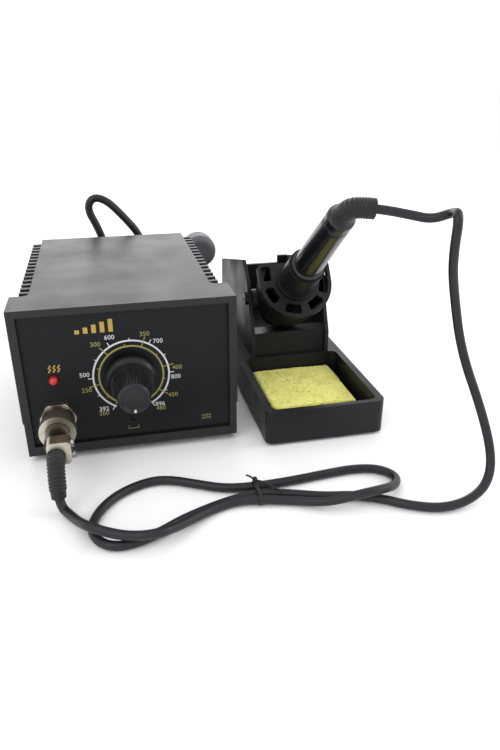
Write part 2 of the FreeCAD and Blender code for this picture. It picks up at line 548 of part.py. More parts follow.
def rear_fittings():
    """Mains switch with its rocker, fuse holder with its cap, and the mains gland."""
    y = REAR_Y
    frame = box(SWITCH_X - SWITCH_W / 2 - 1.5, SWITCH_X + SWITCH_W / 2 + 1.5, y, y + 1.8,
                SWITCH_Z - SWITCH_HT / 2 - 1.5, SWITCH_Z + SWITCH_HT / 2 + 1.5)
    body = box(SWITCH_X - SWITCH_W / 2, SWITCH_X + SWITCH_W / 2, y - 16, y,
               SWITCH_Z - SWITCH_HT / 2, SWITCH_Z + SWITCH_HT / 2)
    well = box(SWITCH_X - 5.2, SWITCH_X + 5.2, y - 9, y + 2, SWITCH_Z - 8.6, SWITCH_Z + 8.6)
    tabs = [box(SWITCH_X - 3, SWITCH_X + 3, y - 24, y - 16, SWITCH_Z + s * 5 - 0.4,
                SWITCH_Z + s * 5 + 0.4) for s in (-1, 1)]
    add("switch_body", frame.fuse([body] + tabs).cut(well).removeSplitter())
    rocker = cyl((SWITCH_X - 4.9, ROCKER_Y, SWITCH_Z), (1, 0, 0), 7.6, 9.8)
    keep = box(SWITCH_X - 4.9, SWITCH_X + 4.9, ROCKER_Y - 4, ROCKER_Y + 5.4, SWITCH_Z - 8, SWITCH_Z + 8)
    rocker = rocker.common(keep)
    pivots = cyl((SWITCH_X - 5.15, ROCKER_Y - 1, SWITCH_Z), (1, 0, 0), 1.2, 10.3)
    rocker = rocker.fuse(pivots)
    rocker.rotate(V(SWITCH_X, ROCKER_Y - 1, SWITCH_Z), V(1, 0, 0), -ROCKER_RAKE)
    add("power_rocker", rocker)
    barrel = tube((FUSE_X, y - 26, FUSE_Z), (0, 1, 0), FUSE_R, FUSE_R - 1.2, 26)
    flange = tube((FUSE_X, y, FUSE_Z), (0, 1, 0), FUSE_R + 2, FUSE_R - 1.2, 2)
    plug_end = cyl((FUSE_X, y - 27, FUSE_Z), (0, 1, 0), FUSE_R, 1.2)
    add("fuse_holder", barrel.fuse([flange, plug_end]).removeSplitter())
    cap = cyl((FUSE_X, y + 2.1, FUSE_Z), (0, 1, 0), FUSE_R + 0.6, 4)
    stem = cyl((FUSE_X, y - 3, FUSE_Z), (0, 1, 0), FUSE_R - 1.2 - RUN_GAP, 5.1)
    slot = box(FUSE_X - 4, FUSE_X + 4, y + 4.7, y + 6.2, FUSE_Z - 0.6, FUSE_Z + 0.6)
    add("fuse_cap", cap.fuse(stem).cut(slot).removeSplitter())
    add("fuse", cyl((FUSE_X, y - 25, FUSE_Z), (0, 1, 0), 2.6, 21.5))
    flange = cyl((GLAND_X, y, GLAND_Z), (0, 1, 0), GLAND_R + 2.0, 2.5)
    neck = cyl((GLAND_X, y - PANEL_T - 0.4, GLAND_Z), (0, 1, 0), GLAND_R, PANEL_T + 0.4)
    back = cyl((GLAND_X, y - PANEL_T - 2.4, GLAND_Z), (0, 1, 0), GLAND_R + 1.2, 2.0)
    start = V(GLAND_X, y + 2.5, GLAND_Z)
    end = V(*MAINS_ROUTE[0])
    boot = Part.makeCone(GLAND_R, MAINS_R + 0.8, (end - start).Length, start, end - start)
    add("mains_gland", flange.fuse([neck, back, boot]).removeSplitter())


ROCKER_Y = REAR_Y - 1.0


# ================================================================ stand
def stand_base():
    """Heavy tray with the sponge well in front and a deck for the tower behind."""
    x0, x1 = STAND_X - STAND_W / 2, STAND_X + STAND_W / 2
    block = rounded(x0, x1, STAND_FRONT, STAND_REAR, STAND_FOOT, STAND_TOP, STAND_CORNER)
    under = rounded(x0 + STAND_WALL, x1 - STAND_WALL, STAND_FRONT + STAND_WALL,
                    STAND_REAR - STAND_WALL, STAND_FOOT, STAND_TOP - STAND_WALL, STAND_CORNER - 2)
    wx0, wx1 = STAND_X - WELL_W / 2, STAND_X + WELL_W / 2
    pan = box(wx0 - 2, wx1 + 2, WELL_FRONT - 2, WELL_REAR + 2, WELL_FLOOR - WELL_FLOOR_T, STAND_TOP - 1)
    well = rounded(wx0, wx1, WELL_FRONT, WELL_REAR, WELL_FLOOR, STAND_TOP, 4.0)
    bosses = [cyl((x, y, STAND_TOP - 8), (0, 0, 1), 3.5, 8 - STAND_WALL) for x, y in TOWER_SCREWS]
    holes = [cyl((x, y, STAND_TOP - 8), (0, 0, 1), 1.45, 8) for x, y in TOWER_SCREWS]
    pads = [cyl((x, y, STAND_FOOT), (0, 0, 1), 4, STAND_TOP - STAND_WALL - STAND_FOOT)
            for x, y in STAND_PADS if y > WELL_REAR]
    base = block.cut(under).fuse([pan] + bosses + pads).cut([well] + holes)
    add("stand_base", base.removeSplitter())
    feet = [cyl((x, y, 0), (0, 0, 1), 4.5, STAND_FOOT) for x, y in STAND_PADS]
    add("stand_feet", Part.makeCompound(feet))


STAND_PADS = [(STAND_X + s * 29.0, y) for s in (-1, 1) for y in (-4.0, 168.0)]
TOWER_SCREWS = [(STAND_X + s * (TOWER_INNER - 5.5), y) for s in (-1, 1) for y in (84.0, 158.0)]


def tower():
    """Two cheeks joined by a low front wall and a back wall, with lips on the deck."""
    y0, y1, z0 = TOWER_FRONT, TOWER_REAR, STAND_TOP
    outline = [(y0 - 2, z0), (y0 - 2, PANEL_TOP - 2), KINK, CREST, (y1, TOWER_TAIL), (y1 + 3, z0)]
    pieces = []
    for side in (-1, 1):
        x = STAND_X + side * TOWER_X
        points = [(x, y, z) for y, z in outline]
        pieces.append(prism(points, (-side, 0, 0), TOWER_WALL))
        lip_x = sorted((STAND_X + side * TOWER_INNER, STAND_X + side * (TOWER_INNER - TOWER_LIP)))
        pieces.append(box(lip_x[0], lip_x[1], y0, y1, z0, z0 + TOWER_LIP_T))
    left, right = STAND_X - TOWER_X, STAND_X + TOWER_X
    pieces.append(box(left, right, y0, y0 + TOWER_WALL, z0, PANEL_TOP))
    pieces.append(box(left + TOWER_WALL, right - TOWER_WALL, y0, TOWER_DECK_END,
                      PANEL_TOP - TOWER_WALL, PANEL_TOP))
    pieces.append(box(left, right, y1 - TOWER_WALL, y1, z0, BACK_TOP))
    pieces.append(box(TAB_X0, TAB_X1, y1 - TOWER_WALL, y1, BACK_TOP, BACK_TOP + TAB_H))
    pivot = along_iron(-PIVOT_BACK)
    cuts = [cyl((left - 1, pivot[1], pivot[2]), (1, 0, 0), PIVOT_SCREW_R + HOLE_GAP, TOWER_W + 2)]
    cuts += [cyl((x, y, z0), (0, 0, 1), 1.7, TOWER_LIP_T) for x, y in TOWER_SCREWS]
    shape = pieces[0].fuse(pieces[1:]).cut(cuts).removeSplitter()
    add("tower", shape)
    screws = [cyl((x, y, z0 + TOWER_LIP_T), (0, 0, 1), 3.0, 2.0).fuse(
        cyl((x, y, z0 - 6), (0, 0, 1), 1.4, 6 + TOWER_LIP_T)) for x, y in TOWER_SCREWS]
    add("tower_screws", Part.makeCompound(screws))
    tilt = []
    for side in (-1, 1):
        x = STAND_X + side * TOWER_X
        head = cyl((x, pivot[1], pivot[2]), (side, 0, 0), 4.4, 2.4)
        near, far = sorted((x + side * 1.2, x + side * 2.5))
        slot = box(near, far, pivot[1] - 5, pivot[1] + 5, pivot[2] - 0.5, pivot[2] + 0.5)
        shank = cyl((x, pivot[1], pivot[2]), (-side, 0, 0), PIVOT_SCREW_R, TOWER_WALL + 8)
        tilt.append(head.cut(slot).fuse(shank).removeSplitter())
    add("tilt_screws", Part.makeCompound(tilt))


def arc_slot(angle):
    """A slot through the holder plate that follows its rim."""
    half = PLATE_T / 2
    ring = tube((0, 0, -half), (0, 0, 1), SLOT_OUT, SLOT_IN, PLATE_T)
    reach = SLOT_OUT + 2
    spread = math.radians(SLOT_HALF)
    wedge = prism([(0, 0, -half), (reach, -reach * math.tan(spread), -half),
                   (reach, reach * math.tan(spread), -half)], (0, 0, 1), PLATE_T)
    slot = ring.common(wedge)
    slot = slot.makeFillet(1.5, upright_edges(slot))
    slot.rotate(V(0, 0, 0), V(0, 0, 1), angle)
    return slot


def holder():
    """Raked holder: slotted plate, snout in front, bowl behind, pivot bosses."""
    half = PLATE_T / 2
    disc = cyl((0, 0, -half), (0, 0, 1), PLATE_R, PLATE_T)
    lower = disc.common(box(-PLATE_R, PLATE_R, -PLATE_R, 0, -half, half))
    upper = box(-PLATE_R, PLATE_R, 0, PLATE_TOP, -half, half)
    upper = upper.makeFillet(PLATE_CORNER, upright_edges(upper, lambda x, y: y > 1))
    plate = lower.fuse(upper).removeSplitter()
    slots = [arc_slot(angle) for angle in SLOT_ANGLES]
    for side in (-1, 1):
        x0, x1 = sorted((side * (SLOT_IN + 0.5), side * (SLOT_OUT + 0.5)))
        slots.append(rounded(x0, x1, 1.6, PLATE_TOP - 1.8, -half, half, 1.5))
    snout = revolve_z([(BORE_R, half), (SNOUT_STEP_R, half), (SNOUT_STEP_R, half + SNOUT_STEP),
                       (SNOUT_R, half + SNOUT_STEP), (SNOUT_TIP_R, half + SNOUT_L),
                       (BORE_R, half + SNOUT_L)])
    end = -half - BOWL_L
    neck = GUARD_R + GUARD_WALL + 0.02
    outside = [(PLATE_R - 1.5, -half), (PLATE_R - 2.0, -half - 12), (PLATE_R - 2.5, -half - 22),
               (PLATE_R - 4.2, -half - 28.5), (BOWL_TAIL_R, end), (neck, end)]
    inside = [(neck, end + BOWL_WALL), (BOWL_TAIL_R - 1.1, end + BOWL_WALL),
              (PLATE_R - 4.2 - BOWL_WALL, -half - 27.5), (PLATE_R - 2.5 - BOWL_WALL, -half - 21.5),
              (PLATE_R - 2.0 - BOWL_WALL, -half - 12), (PLATE_R - 1.5 - BOWL_WALL, -half)]
    bowl = revolve_z(outside + inside)
    reach = TOWER_INNER - 0.3
    boss = cyl((-reach, 0, -PIVOT_BACK), (1, 0, 0), PIVOT_BOSS_R, 2 * reach)
    clear = revolve_z([(0, end), (neck, end)] + inside + [(0, -half)])
    boss = boss.cut(clear)
    pin_holes = [cyl((s * (reach + 0.5), 0, -PIVOT_BACK), (-s, 0, 0), PIVOT_SCREW_R + RUN_GAP, 9.2)
                 for s in (-1, 1)]
    bore = cyl((0, 0, -half), (0, 0, 1), BORE_R, PLATE_T)
    body = plate.cut(slots + [bore]).fuse([snout, bowl, boss]).cut(pin_holes)
    add("holder_body", to_holder(body.removeSplitter()))
    guard_top = -half - BOWL_L + BOWL_WALL
    guard = tube((0, 0, guard_top - GUARD_L), (0, 0, 1), GUARD_R + GUARD_WALL, GUARD_R, GUARD_L)
    vents = [cyl((-15, 0, guard_top - 9 - 9 * k), (1, 0, 0), 2.2, 30) for k in range(2)]
    vents += [cyl((0, -15, guard_top - 13.5), (0, 1, 0), 2.2, 30)]
    stop = tube((0, 0, guard_top - GUARD_L), (0, 0, 1), GUARD_R, 5.0, 1.0)
    add("holder_guard", to_holder(guard.cut(vents).fuse(stop).removeSplitter()))


def sponge():
    """Cleaning sponge at the back of the well."""
    block = rounded(STAND_X - SPONGE_W / 2, STAND_X + SPONGE_W / 2,
                    WELL_REAR - 0.6 - SPONGE_D, WELL_REAR - 0.6,
                    WELL_FLOOR, WELL_FLOOR + SPONGE_T, 2.0)
    add("sponge", block)


# ================================================================ iron
def iron():
    """Handle, end ring, nose, heater sleeve and tip, all on one raked axis."""
    grip = revolve_z([(NOSE_R - IRON_WALL, NOSE_AT + 4), (NOSE_R + 1.3, NOSE_AT + 4),
                      (NOSE_R + 1.3, NOSE_AT + 6.5), (NOSE_R, NOSE_AT + 7),
                      (NOSE_R - 0.2, NOSE_AT + 30), (TAIL_R, GRIP_END),
                      (TAIL_R - IRON_WALL, GRIP_END)])
    add("handle", to_holder(grip))
    nose = revolve_z([(4.0, NOSE_AT - 6), (NOSE_R - 0.9, NOSE_AT - 6), (NOSE_R - 0.4, NOSE_AT + 3.85),
                      (NOSE_R - IRON_WALL - 0.4, NOSE_AT + 3.85), (NOSE_R - IRON_WALL - 0.4, NOSE_AT + 9),
                      (4.0, NOSE_AT + 9)])
    add("handle_nose", to_holder(nose))
    ring = revolve_z([(4.0, GRIP_END + 0.1), (TAIL_R + 0.1, GRIP_END + 0.1), (TAIL_R + 0.1, GRIP_END + 5),
                      (TAIL_R - 0.8, RING_END), (4.0, RING_END)])
    add("handle_cap", to_holder(ring))
    nut = revolve_z([(SLEEVE_R + 0.02, NOSE_AT - 14), (6.0, NOSE_AT - 14), (7.6, NOSE_AT - 10),
                     (7.6, NOSE_AT - 6.1), (SLEEVE_R + 0.02, NOSE_AT - 6.1)])
    add("sleeve_nut", to_holder(nut))
    sleeve = revolve_z([(TIP_R + 0.05, SLEEVE_END), (SLEEVE_R - 0.4, SLEEVE_END), (SLEEVE_R, SLEEVE_END + 3),
                        (SLEEVE_R, NOSE_AT + 8), (TIP_R + 0.05, NOSE_AT + 8)])
    add("heater_sleeve", to_holder(sleeve))
    tip = revolve_z([(0, TIP_END), (0.35, TIP_END), (TIP_R, TIP_END + 14), (TIP_R, BARREL_END),
                     (0, BARREL_END)])
    add("soldering_tip", to_holder(tip))
    add("heating_element", to_holder(cyl((0, 0, BARREL_END + 0.1), (0, 0, 1), TIP_R - 0.3,
                                         NOSE_AT + 8 - BARREL_END)))
    add("handle_relief", lead("handle_relief", IRON_RELIEF_ROUTE, IRON_RELIEF_R))


# ================================================================ leads
def leads():
    """Iron lead in two lengths, twist tie, mains lead, hank, loop, tie and plug."""
    add("iron_cord", lead("iron_cord", CORD_ROUTE, CORD_R))
    start, onward = V(*CORD_END_ROUTE[0]), V(*CORD_END_ROUTE[1])
    shifted = start + (onward - start).normalize() * BUTT_GAP
    add("iron_cord_end", lead("iron_cord_end", [tuple(shifted)] + CORD_END_ROUTE[1:], CORD_R))
    x, lo, hi = 57.5, -65.5, -54.3
    outer = CORD_R + 0.75
    band = []
    for grow in (0.0, -0.55):
        r = outer + grow
        core = box(x - 1.3, x + 1.3, lo, hi, TIE_Z - r, TIE_Z + r)
        ends = [cyl((x - 1.3, y, TIE_Z), (1, 0, 0), r, 2.6) for y in (lo, hi)]
        band.append(core.fuse(ends))
    knot = Part.makeSphere(1.9, V(x, hi + 0.4, TIE_Z + outer + 1.0))
    add("twist_tie", band[0].cut(band[1]).fuse(knot).removeSplitter())
    add("mains_cord", lead("mains_cord", MAINS_ROUTE, MAINS_R))
    add("mains_loop", lead("mains_loop", LOOP_ROUTE, MAINS_R))
    add("mains_tail", lead("mains_tail", MAINS_TAIL_ROUTE, MAINS_R))
    low, high = V(HANK_LOW[0], 0, HANK_LOW[1]), V(HANK_HIGH[0], 0, HANK_HIGH[1])
    run = high - low
    side = V(run.z, 0, -run.x).normalize() * HANK_END_R
    y0 = HANK_Y - HANK_T / 2
    slab = prism([(p.x, y0, p.z) for p in (low + side, high + side, high - side, low - side)],
                 (0, 1, 0), HANK_T)
    ends = [cyl((p.x, y0, p.z), (0, 1, 0), HANK_END_R, HANK_T) for p in (low, high)]
    tubes = [nodes[name] for name in ("mains_cord", "mains_loop", "mains_tail")]
    add("mains_hank", slab.fuse(ends).removeSplitter().cut(tubes))
    x, y, z = PLUG_X, PLUG_Y, PLUG_Z
    body = cyl((x, y - PLUG_BODY_T / 2, z), (0, 1, 0), PLUG_BODY_R, PLUG_BODY_T)
    body = body.makeFillet(5.0, [e for e in body.Edges if abs(
        e.BoundBox.YMin - (y - PLUG_BODY_T / 2)) < 0.01 and e.BoundBox.YLength < 0.01])
    end = V(*MAINS_TAIL_ROUTE[-1])
    into = V(x - 9, y, z - 1)
    root = Part.makeCone(MAINS_R + 0.6, MAINS_R + 2.6, (into - end).Length, end, into - end)
    add("mains_plug", body.fuse(root).removeSplitter())
    back = y + PLUG_BODY_T / 2
    pins = [cyl((x + s * 6.35, back, z), (0, 1, 0), 2.0, 18) for s in (-1, 1)]
    add("plug_pins", Part.makeCompound(pins))


BUILDERS = [case_fastenings, electronics, dial, indicator, connector,
            rear_fittings, stand_base, tower, holder, sponge, iron, leads]
LEAD_NODES = ["iron_cord", "iron_cord_end", "twist_tie", "mains_cord", "mains_loop",
              "mains_tail", "mains_hank", "mains_plug", "plug_pins"]

add("upper_case", upper_case())
add("lower_case", lower_case())
add("front_panel", front_panel())
add("rear_panel", rear_panel())
for build in BUILDERS:
    build()

extent = FreeCAD.BoundBox()
for name, shape in nodes.items():
    if name not in LEAD_NODES:
        extent.add(shape.BoundBox)
shift = V(-(extent.XMin + extent.XMax) / 2, -(extent.YMin + extent.YMax) / 2, -extent.ZMin)
print("shift %.4f %.4f %.4f" % tuple(shift), "extent", extent)
print("holder pivot", along_iron(-PIVOT_BACK))
for name, shape in nodes.items():
    placed = shape.copy()
    placed.translate(shift)
    if not placed.isValid() or placed.Volume <= 0:
        print("check", name, placed.isValid(), placed.Volume)
    placed.exportStep("parts/%s.step" % name)
print(len(nodes), "nodes")
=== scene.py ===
"""Soldering station: the looks of every piece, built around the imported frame.

Lengths below are in millimetres in the drawing's frame, whose zero is the middle of the
control unit's front face on the table. Frame.at turns them into the row's metres.
"""

import logging
import math
from dataclasses import dataclass, field
from enum import Enum
from typing import Callable, Iterable, Sequence

import bpy
from mathutils import Matrix, Vector


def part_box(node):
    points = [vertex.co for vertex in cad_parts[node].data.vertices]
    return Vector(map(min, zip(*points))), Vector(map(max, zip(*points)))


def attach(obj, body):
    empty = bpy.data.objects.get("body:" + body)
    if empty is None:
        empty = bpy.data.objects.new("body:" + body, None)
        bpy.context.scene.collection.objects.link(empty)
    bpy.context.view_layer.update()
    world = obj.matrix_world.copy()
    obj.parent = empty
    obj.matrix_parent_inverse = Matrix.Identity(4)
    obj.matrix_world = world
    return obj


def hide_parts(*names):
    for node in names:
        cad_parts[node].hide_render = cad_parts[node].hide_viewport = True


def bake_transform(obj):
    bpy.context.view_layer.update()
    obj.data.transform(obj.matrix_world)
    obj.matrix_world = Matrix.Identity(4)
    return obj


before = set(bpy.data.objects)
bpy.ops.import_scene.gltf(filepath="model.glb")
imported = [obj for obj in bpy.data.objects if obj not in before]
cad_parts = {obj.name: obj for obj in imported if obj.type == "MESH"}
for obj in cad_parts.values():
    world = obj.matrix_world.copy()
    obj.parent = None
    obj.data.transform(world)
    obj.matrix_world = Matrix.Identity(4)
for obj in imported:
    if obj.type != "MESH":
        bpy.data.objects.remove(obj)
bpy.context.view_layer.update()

log = logging.getLogger("soldering_station")
MM = 0.001
PER_METRE = 1000
# The holder plate's middle, and how far its axis is raked up from the table.
HOLDER = (111.25, 60.0, 75.5)
RAKE = 37.0
Point = Sequence[float]


# ------------------------------------------------------------------ frame and selection
class Frame:
    """Turns drawing millimetres into row metres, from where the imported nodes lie."""

    def __init__(self) -> None:
        """Read the control unit's place once."""
        low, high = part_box("upper_case")
        self.shift = Vector(((low.x + high.x) / 2, low.y, 0.0))

    def at(self, point: Point) -> Vector:
        """Give the row position of a drawing point."""
        return Vector(point) * MM + self.shift


FRAME = Frame()


def deselect() -> None:
    """Leave object mode with nothing selected."""
    if bpy.context.object and bpy.context.object.mode != "OBJECT":
        bpy.ops.object.mode_set(mode="OBJECT")
    bpy.ops.object.select_all(action="DESELECT")


def only(piece: bpy.types.Object) -> None:
    """Select one piece alone and make it active."""
    deselect()
    piece.select_set(True)
    bpy.context.view_layer.objects.active = piece


def newest(name: str) -> bpy.types.Object:
    """Name the object that an operator has just added."""
    piece = bpy.context.object
    piece.name = name
    piece.data.name = name
    return piece


def settle(piece: bpy.types.Object) -> bpy.types.Object:
    """Put the piece's place into its mesh, so its object stands at the origin."""
    only(piece)
    bpy.ops.object.transform_apply(location=True, rotation=True, scale=True)
    return piece


def apply_modifiers(piece: bpy.types.Object) -> bpy.types.Object:
    """Apply every modifier on the piece, in order."""
    only(piece)
    for modifier in list(piece.modifiers):
        bpy.ops.object.modifier_apply(modifier=modifier.name)
    return piece


def smooth(piece: bpy.types.Object, degrees: float = 35.0) -> bpy.types.Object:
    """Shade smooth, keeping edges sharper than an angle."""
    only(piece)
    bpy.ops.object.shade_smooth_by_angle(angle=math.radians(degrees))
    return piece


def joined(pieces: Sequence[bpy.types.Object], name: str) -> bpy.types.Object:
    """Join several pieces into one and name it."""
    deselect()
    for piece in pieces:
        piece.select_set(True)
    bpy.context.view_layer.objects.active = pieces[0]
    if len(pieces) > 1:
        bpy.ops.object.join()
    return newest(name)


def outward(piece: bpy.types.Object) -> bpy.types.Object:
    """Merge doubles and turn every face outwards."""
    only(piece)
    bpy.ops.object.mode_set(mode="EDIT")
    bpy.ops.mesh.select_all(action="SELECT")
    bpy.ops.mesh.remove_doubles(threshold=1e-6)
    bpy.ops.mesh.normals_make_consistent(inside=False)
    bpy.ops.object.mode_set(mode="OBJECT")
    return piece


def choose_faces(piece: bpy.types.Object, test: Callable[[Vector, float], bool]) -> None:
    """Enter edit mode with just the faces chosen whose centre and area pass the test."""
    only(piece)
    bpy.ops.object.mode_set(mode="EDIT")
    bpy.ops.mesh.select_mode(type="FACE")
    bpy.ops.mesh.select_all(action="DESELECT")
    bpy.ops.object.mode_set(mode="OBJECT")
    for face in piece.data.polygons:
        face.select = test(face.center, face.area)
    bpy.ops.object.mode_set(mode="EDIT")


def turn_about(piece: bpy.types.Object, centre: Vector, axis: str, degrees: float) -> None:
    """Turn a settled piece about a line through a point."""
    turn = Matrix.Rotation(math.radians(degrees), 4, axis)
    piece.data.transform(Matrix.Translation(centre) @ turn @ Matrix.Translation(-centre))


# ------------------------------------------------------------------ finishes
def linear(code: str) -> tuple[float, float, float, float]:
    """Turn an sRGB hex colour into linear RGBA."""
    parts = [int(code[k:k + 2], 16) / 255 for k in (1, 3, 5)]
    low = [p / 12.92 if p <= 0.04045 else ((p + 0.055) / 1.055) ** 2.4 for p in parts]
    return (low[0], low[1], low[2], 1.0)


def add_node(tree: bpy.types.NodeTree, kind: str, settings: dict | None = None,
             links: dict | None = None) -> bpy.types.Node:
    """Add one shader node.

    Args:
        tree: the material's node tree.
        kind: the node's type name.
        settings: attributes by name, or socket values by the socket's name or number.
        links: the output socket that feeds each input socket.

    Returns:
        The new node.
    """
    node = tree.nodes.new(kind)
    for name, value in (settings or {}).items():
        if isinstance(name, str) and hasattr(node, name):
            setattr(node, name, value)
        else:
            node.inputs[name].default_value = value
    for name, output in (links or {}).items():
        tree.links.new(output, node.inputs[name])
    return node


class Pattern(Enum):
    """The kind of surface relief that a finish carries."""

    GRAIN = "grain"
    BRUSHED = "brushed"
    PORES = "pores"
    WOUND = "wound"


@dataclass(frozen=True)
class Finish:
    """One finish: a colour that varies a little, a roughness that varies, and fine relief."""

    name: str
    colour: str
    second: str
    rough: float
    metallic: float = 0.0
    ior: float = 1.5
    coat: float = 0.0
    grain_mm: float = 0.9
    depth_mm: float = 0.02
    cloud_mm: float = 28.0
    rough_swing: float = 0.08
    pattern: Pattern = Pattern.GRAIN
    sheen: float = 0.0
    transmission: float = 0.0

    def material(self) -> bpy.types.Material:
        """Build the material once and give it again after that."""
        made = bpy.data.materials.get(self.name)
        if made:
            return made
        made = bpy.data.materials.new(self.name)
        made.use_nodes = True
        tree = made.node_tree
        tree.nodes.clear()
        place = add_node(tree, "ShaderNodeTexCoord").outputs["Object"]
        cloud = add_node(tree, "ShaderNodeTexNoise",
                         {"Scale": PER_METRE / self.cloud_mm, "Detail": 3.0, "Roughness": 0.55},
                         {"Vector": place})
        spread = add_node(tree, "ShaderNodeMapRange",
                          {"From Min": 0.3, "From Max": 0.7}, {"Value": cloud.outputs["Fac"]})
        relief, tint = self.relief(tree, place, spread.outputs["Result"])
        colour = add_node(tree, "ShaderNodeMix", {"data_type": "RGBA", 6: linear(self.colour),
                                                  7: linear(self.second)}, {0: tint})
        rough = add_node(tree, "ShaderNodeMapRange",
                         {"To Min": max(self.rough - self.rough_swing, 0.02),
                          "To Max": min(self.rough + self.rough_swing, 1.0)},
                         {"Value": spread.outputs["Result"]})
        bump = add_node(tree, "ShaderNodeBump", {"Strength": 1.0, "Distance": self.depth_mm * MM},
                        {"Height": relief})
        shader = add_node(tree, "ShaderNodeBsdfPrincipled",
                          {"Metallic": self.metallic, "Coat Weight": self.coat,
                           "Coat Roughness": 0.08, "Sheen Weight": self.sheen,
                           "Transmission Weight": self.transmission},
                          {"Base Color": colour.outputs[2], "Roughness": rough.outputs["Result"],
                           "Normal": bump.outputs["Normal"]})
        if self.metallic < 0.5:
            shader.inputs["IOR"].default_value = self.ior
        add_node(tree, "ShaderNodeOutputMaterial", None, {"Surface": shader.outputs["BSDF"]})
        return made

    def relief(self, tree: bpy.types.NodeTree, place: bpy.types.NodeSocket,
               spread: bpy.types.NodeSocket) -> tuple[bpy.types.NodeSocket, bpy.types.NodeSocket]:
        """Make the fine relief.

        Args:
            tree: the material's node tree.
            place: object coordinates.
            spread: the slow cloud, from 0 to 1.

        Returns:
            The height for the bump, and the mix between the two colours.
        """
        scale = PER_METRE / self.grain_mm
        if self.pattern is Pattern.BRUSHED:
            drawn = add_node(tree, "ShaderNodeMapping", {"Scale": (1.0, 0.06, 1.0)},
                             {"Vector": place})
            fine = add_node(tree, "ShaderNodeTexNoise", {"Scale": scale, "Detail": 2.0},
                            {"Vector": drawn.outputs["Vector"]})
            return fine.outputs["Fac"], spread
        if self.pattern is Pattern.PORES:
            cells = add_node(tree, "ShaderNodeTexVoronoi",
                             {"feature": "SMOOTH_F1", "Scale": scale, "Smoothness": 0.25},
                             {"Vector": place})
            big = add_node(tree, "ShaderNodeTexVoronoi",
                           {"feature": "F1", "Scale": scale / 3.1}, {"Vector": place})
            both = add_node(tree, "ShaderNodeMath", {"operation": "MINIMUM"},
                            {0: cells.outputs["Distance"], 1: big.outputs["Distance"]})
            pit = add_node(tree, "ShaderNodeMapRange",
                           {"From Min": 0.05, "From Max": 0.32, "To Min": 0.0, "To Max": 1.0},
                           {"Value": both.outputs[0]})
            # Hollows keep the darker colour and ridges lean to the lighter one: painted shade in the
            # pores, varied at random by the slow cloud.
            pore_shade = add_node(tree, "ShaderNodeMath", {"operation": "MULTIPLY"},
                            {0: pit.outputs["Result"], 1: spread})
            pore_shade_mix = add_node(tree, "ShaderNodeMath", {"operation": "ADD", 1: 0.25, "use_clamp": True},
                             {0: pore_shade.outputs[0]})
            return pit.outputs["Result"], pore_shade_mix.outputs[0]
        if self.pattern is Pattern.WOUND:
            turns = add_node(tree, "ShaderNodeTexWave",
                             {"wave_type": "BANDS", "bands_direction": "Z",
                              "Scale": scale / 20, "Distortion": 0.2}, {"Vector": place})
            return turns.outputs["Fac"], turns.outputs["Fac"]
        fine = add_node(tree, "ShaderNodeTexNoise", {"Scale": scale, "Detail": 4.0,
                                                     "Roughness": 0.6}, {"Vector": place})
        return fine.outputs["Fac"], spread


# Injection-moulded ABS with a spark-eroded texture: dull black that lights up at a low angle.
CASE_ABS = Finish("moulded_abs_textured", "#141518", "#191A1D", 0.42, ior=1.42, grain_mm=0.7,
                  depth_mm=0.035, rough_swing=0.05)
# Smooth pressed plate, a little glossier than the case.
PANEL_ABS = Finish("smooth_abs_plate", "#121316", "#16171A", 0.38, ior=1.28, grain_mm=1.4,
                   depth_mm=0.006)
# Stand in moulded phenolic: satin, slightly bluish, with flow marks.
STAND_RESIN = Finish("moulded_phenolic_satin", "#15151A", "#1B1B21", 0.43, ior=1.33, grain_mm=0.8,
                     depth_mm=0.03, cloud_mm=22.0)
HOLDER_RESIN = Finish("moulded_phenolic_holder", "#17171B", "#1E1D22", 0.42, ior=1.34, grain_mm=0.7,
                      depth_mm=0.025, cloud_mm=14.0)
# Polished polyamide of the handle: deep black under a clear hard gloss.
GRIP_GLOSS = Finish("polished_polyamide", "#0E0F13", "#14151B", 0.24, ior=1.45, coat=0.15,
                    grain_mm=2.0, depth_mm=0.004, rough_swing=0.03)
# Vinyl-coated PVC sheath: dark slate, softly shining.
CORD_SHEATH = Finish("cord_sheath_vinyl", "#1A1B20", "#212228", 0.42, ior=1.4, grain_mm=0.5,
                     depth_mm=0.02, cloud_mm=16.0)
# Chloroprene mouldings: feet, gland and reliefs, dull with a dusty sheen.
SOFT_RUBBER = Finish("chloroprene_moulding", "#151518", "#1C1C20", 0.52, ior=1.38, grain_mm=0.5,
                     depth_mm=0.02, sheen=0.12)
# Nickel plate on brass, warm and bright.
NICKEL = Finish("nickel_plate_warm", "#D2CBBB", "#BCB29E", 0.32, metallic=1.0, grain_mm=1.1,
                depth_mm=0.008, rough_swing=0.08, cloud_mm=9.0)
# Nickel darkened for the plug barrel: painted shade and painted dark reflection, not the plating's own
# colour.
PAINTED_SHADE_NICKEL = Finish("nickel_plate_painted_shade", "#5E594F", "#3F3B34", 0.3, metallic=1.0,
                     grain_mm=0.9, depth_mm=0.01, cloud_mm=8.0)
# Zinc-plated screw and strap steel.
STEEL = Finish("zinc_plated_steel", "#B9BBBE", "#9A9CA0", 0.3, metallic=1.0, grain_mm=0.8,
               depth_mm=0.01, pattern=Pattern.BRUSHED)
# Heat-tinted stainless sleeve: straw brown where it runs hot.
HOT_STEEL = Finish("heat_tinted_stainless", "#B7A88E", "#8C7A66", 0.28, metallic=1.0,
                   grain_mm=0.6, depth_mm=0.008, cloud_mm=12.0, pattern=Pattern.BRUSHED)
BLACK_STEEL = Finish("blackened_steel", "#2A2A2D", "#1E1E21", 0.42, metallic=1.0, grain_mm=0.7,
                     depth_mm=0.01)
# Brass given a very dark colour for the trimmer rotor in its hole.
DARKENED_BRASS = Finish("darkened_brass", "#3B3222", "#2C2519", 0.45, metallic=1.0, grain_mm=0.5)
TIP_PLATE = Finish("iron_plated_copper", "#A7A29B", "#6F6860", 0.3, metallic=1.0, cloud_mm=6.0)
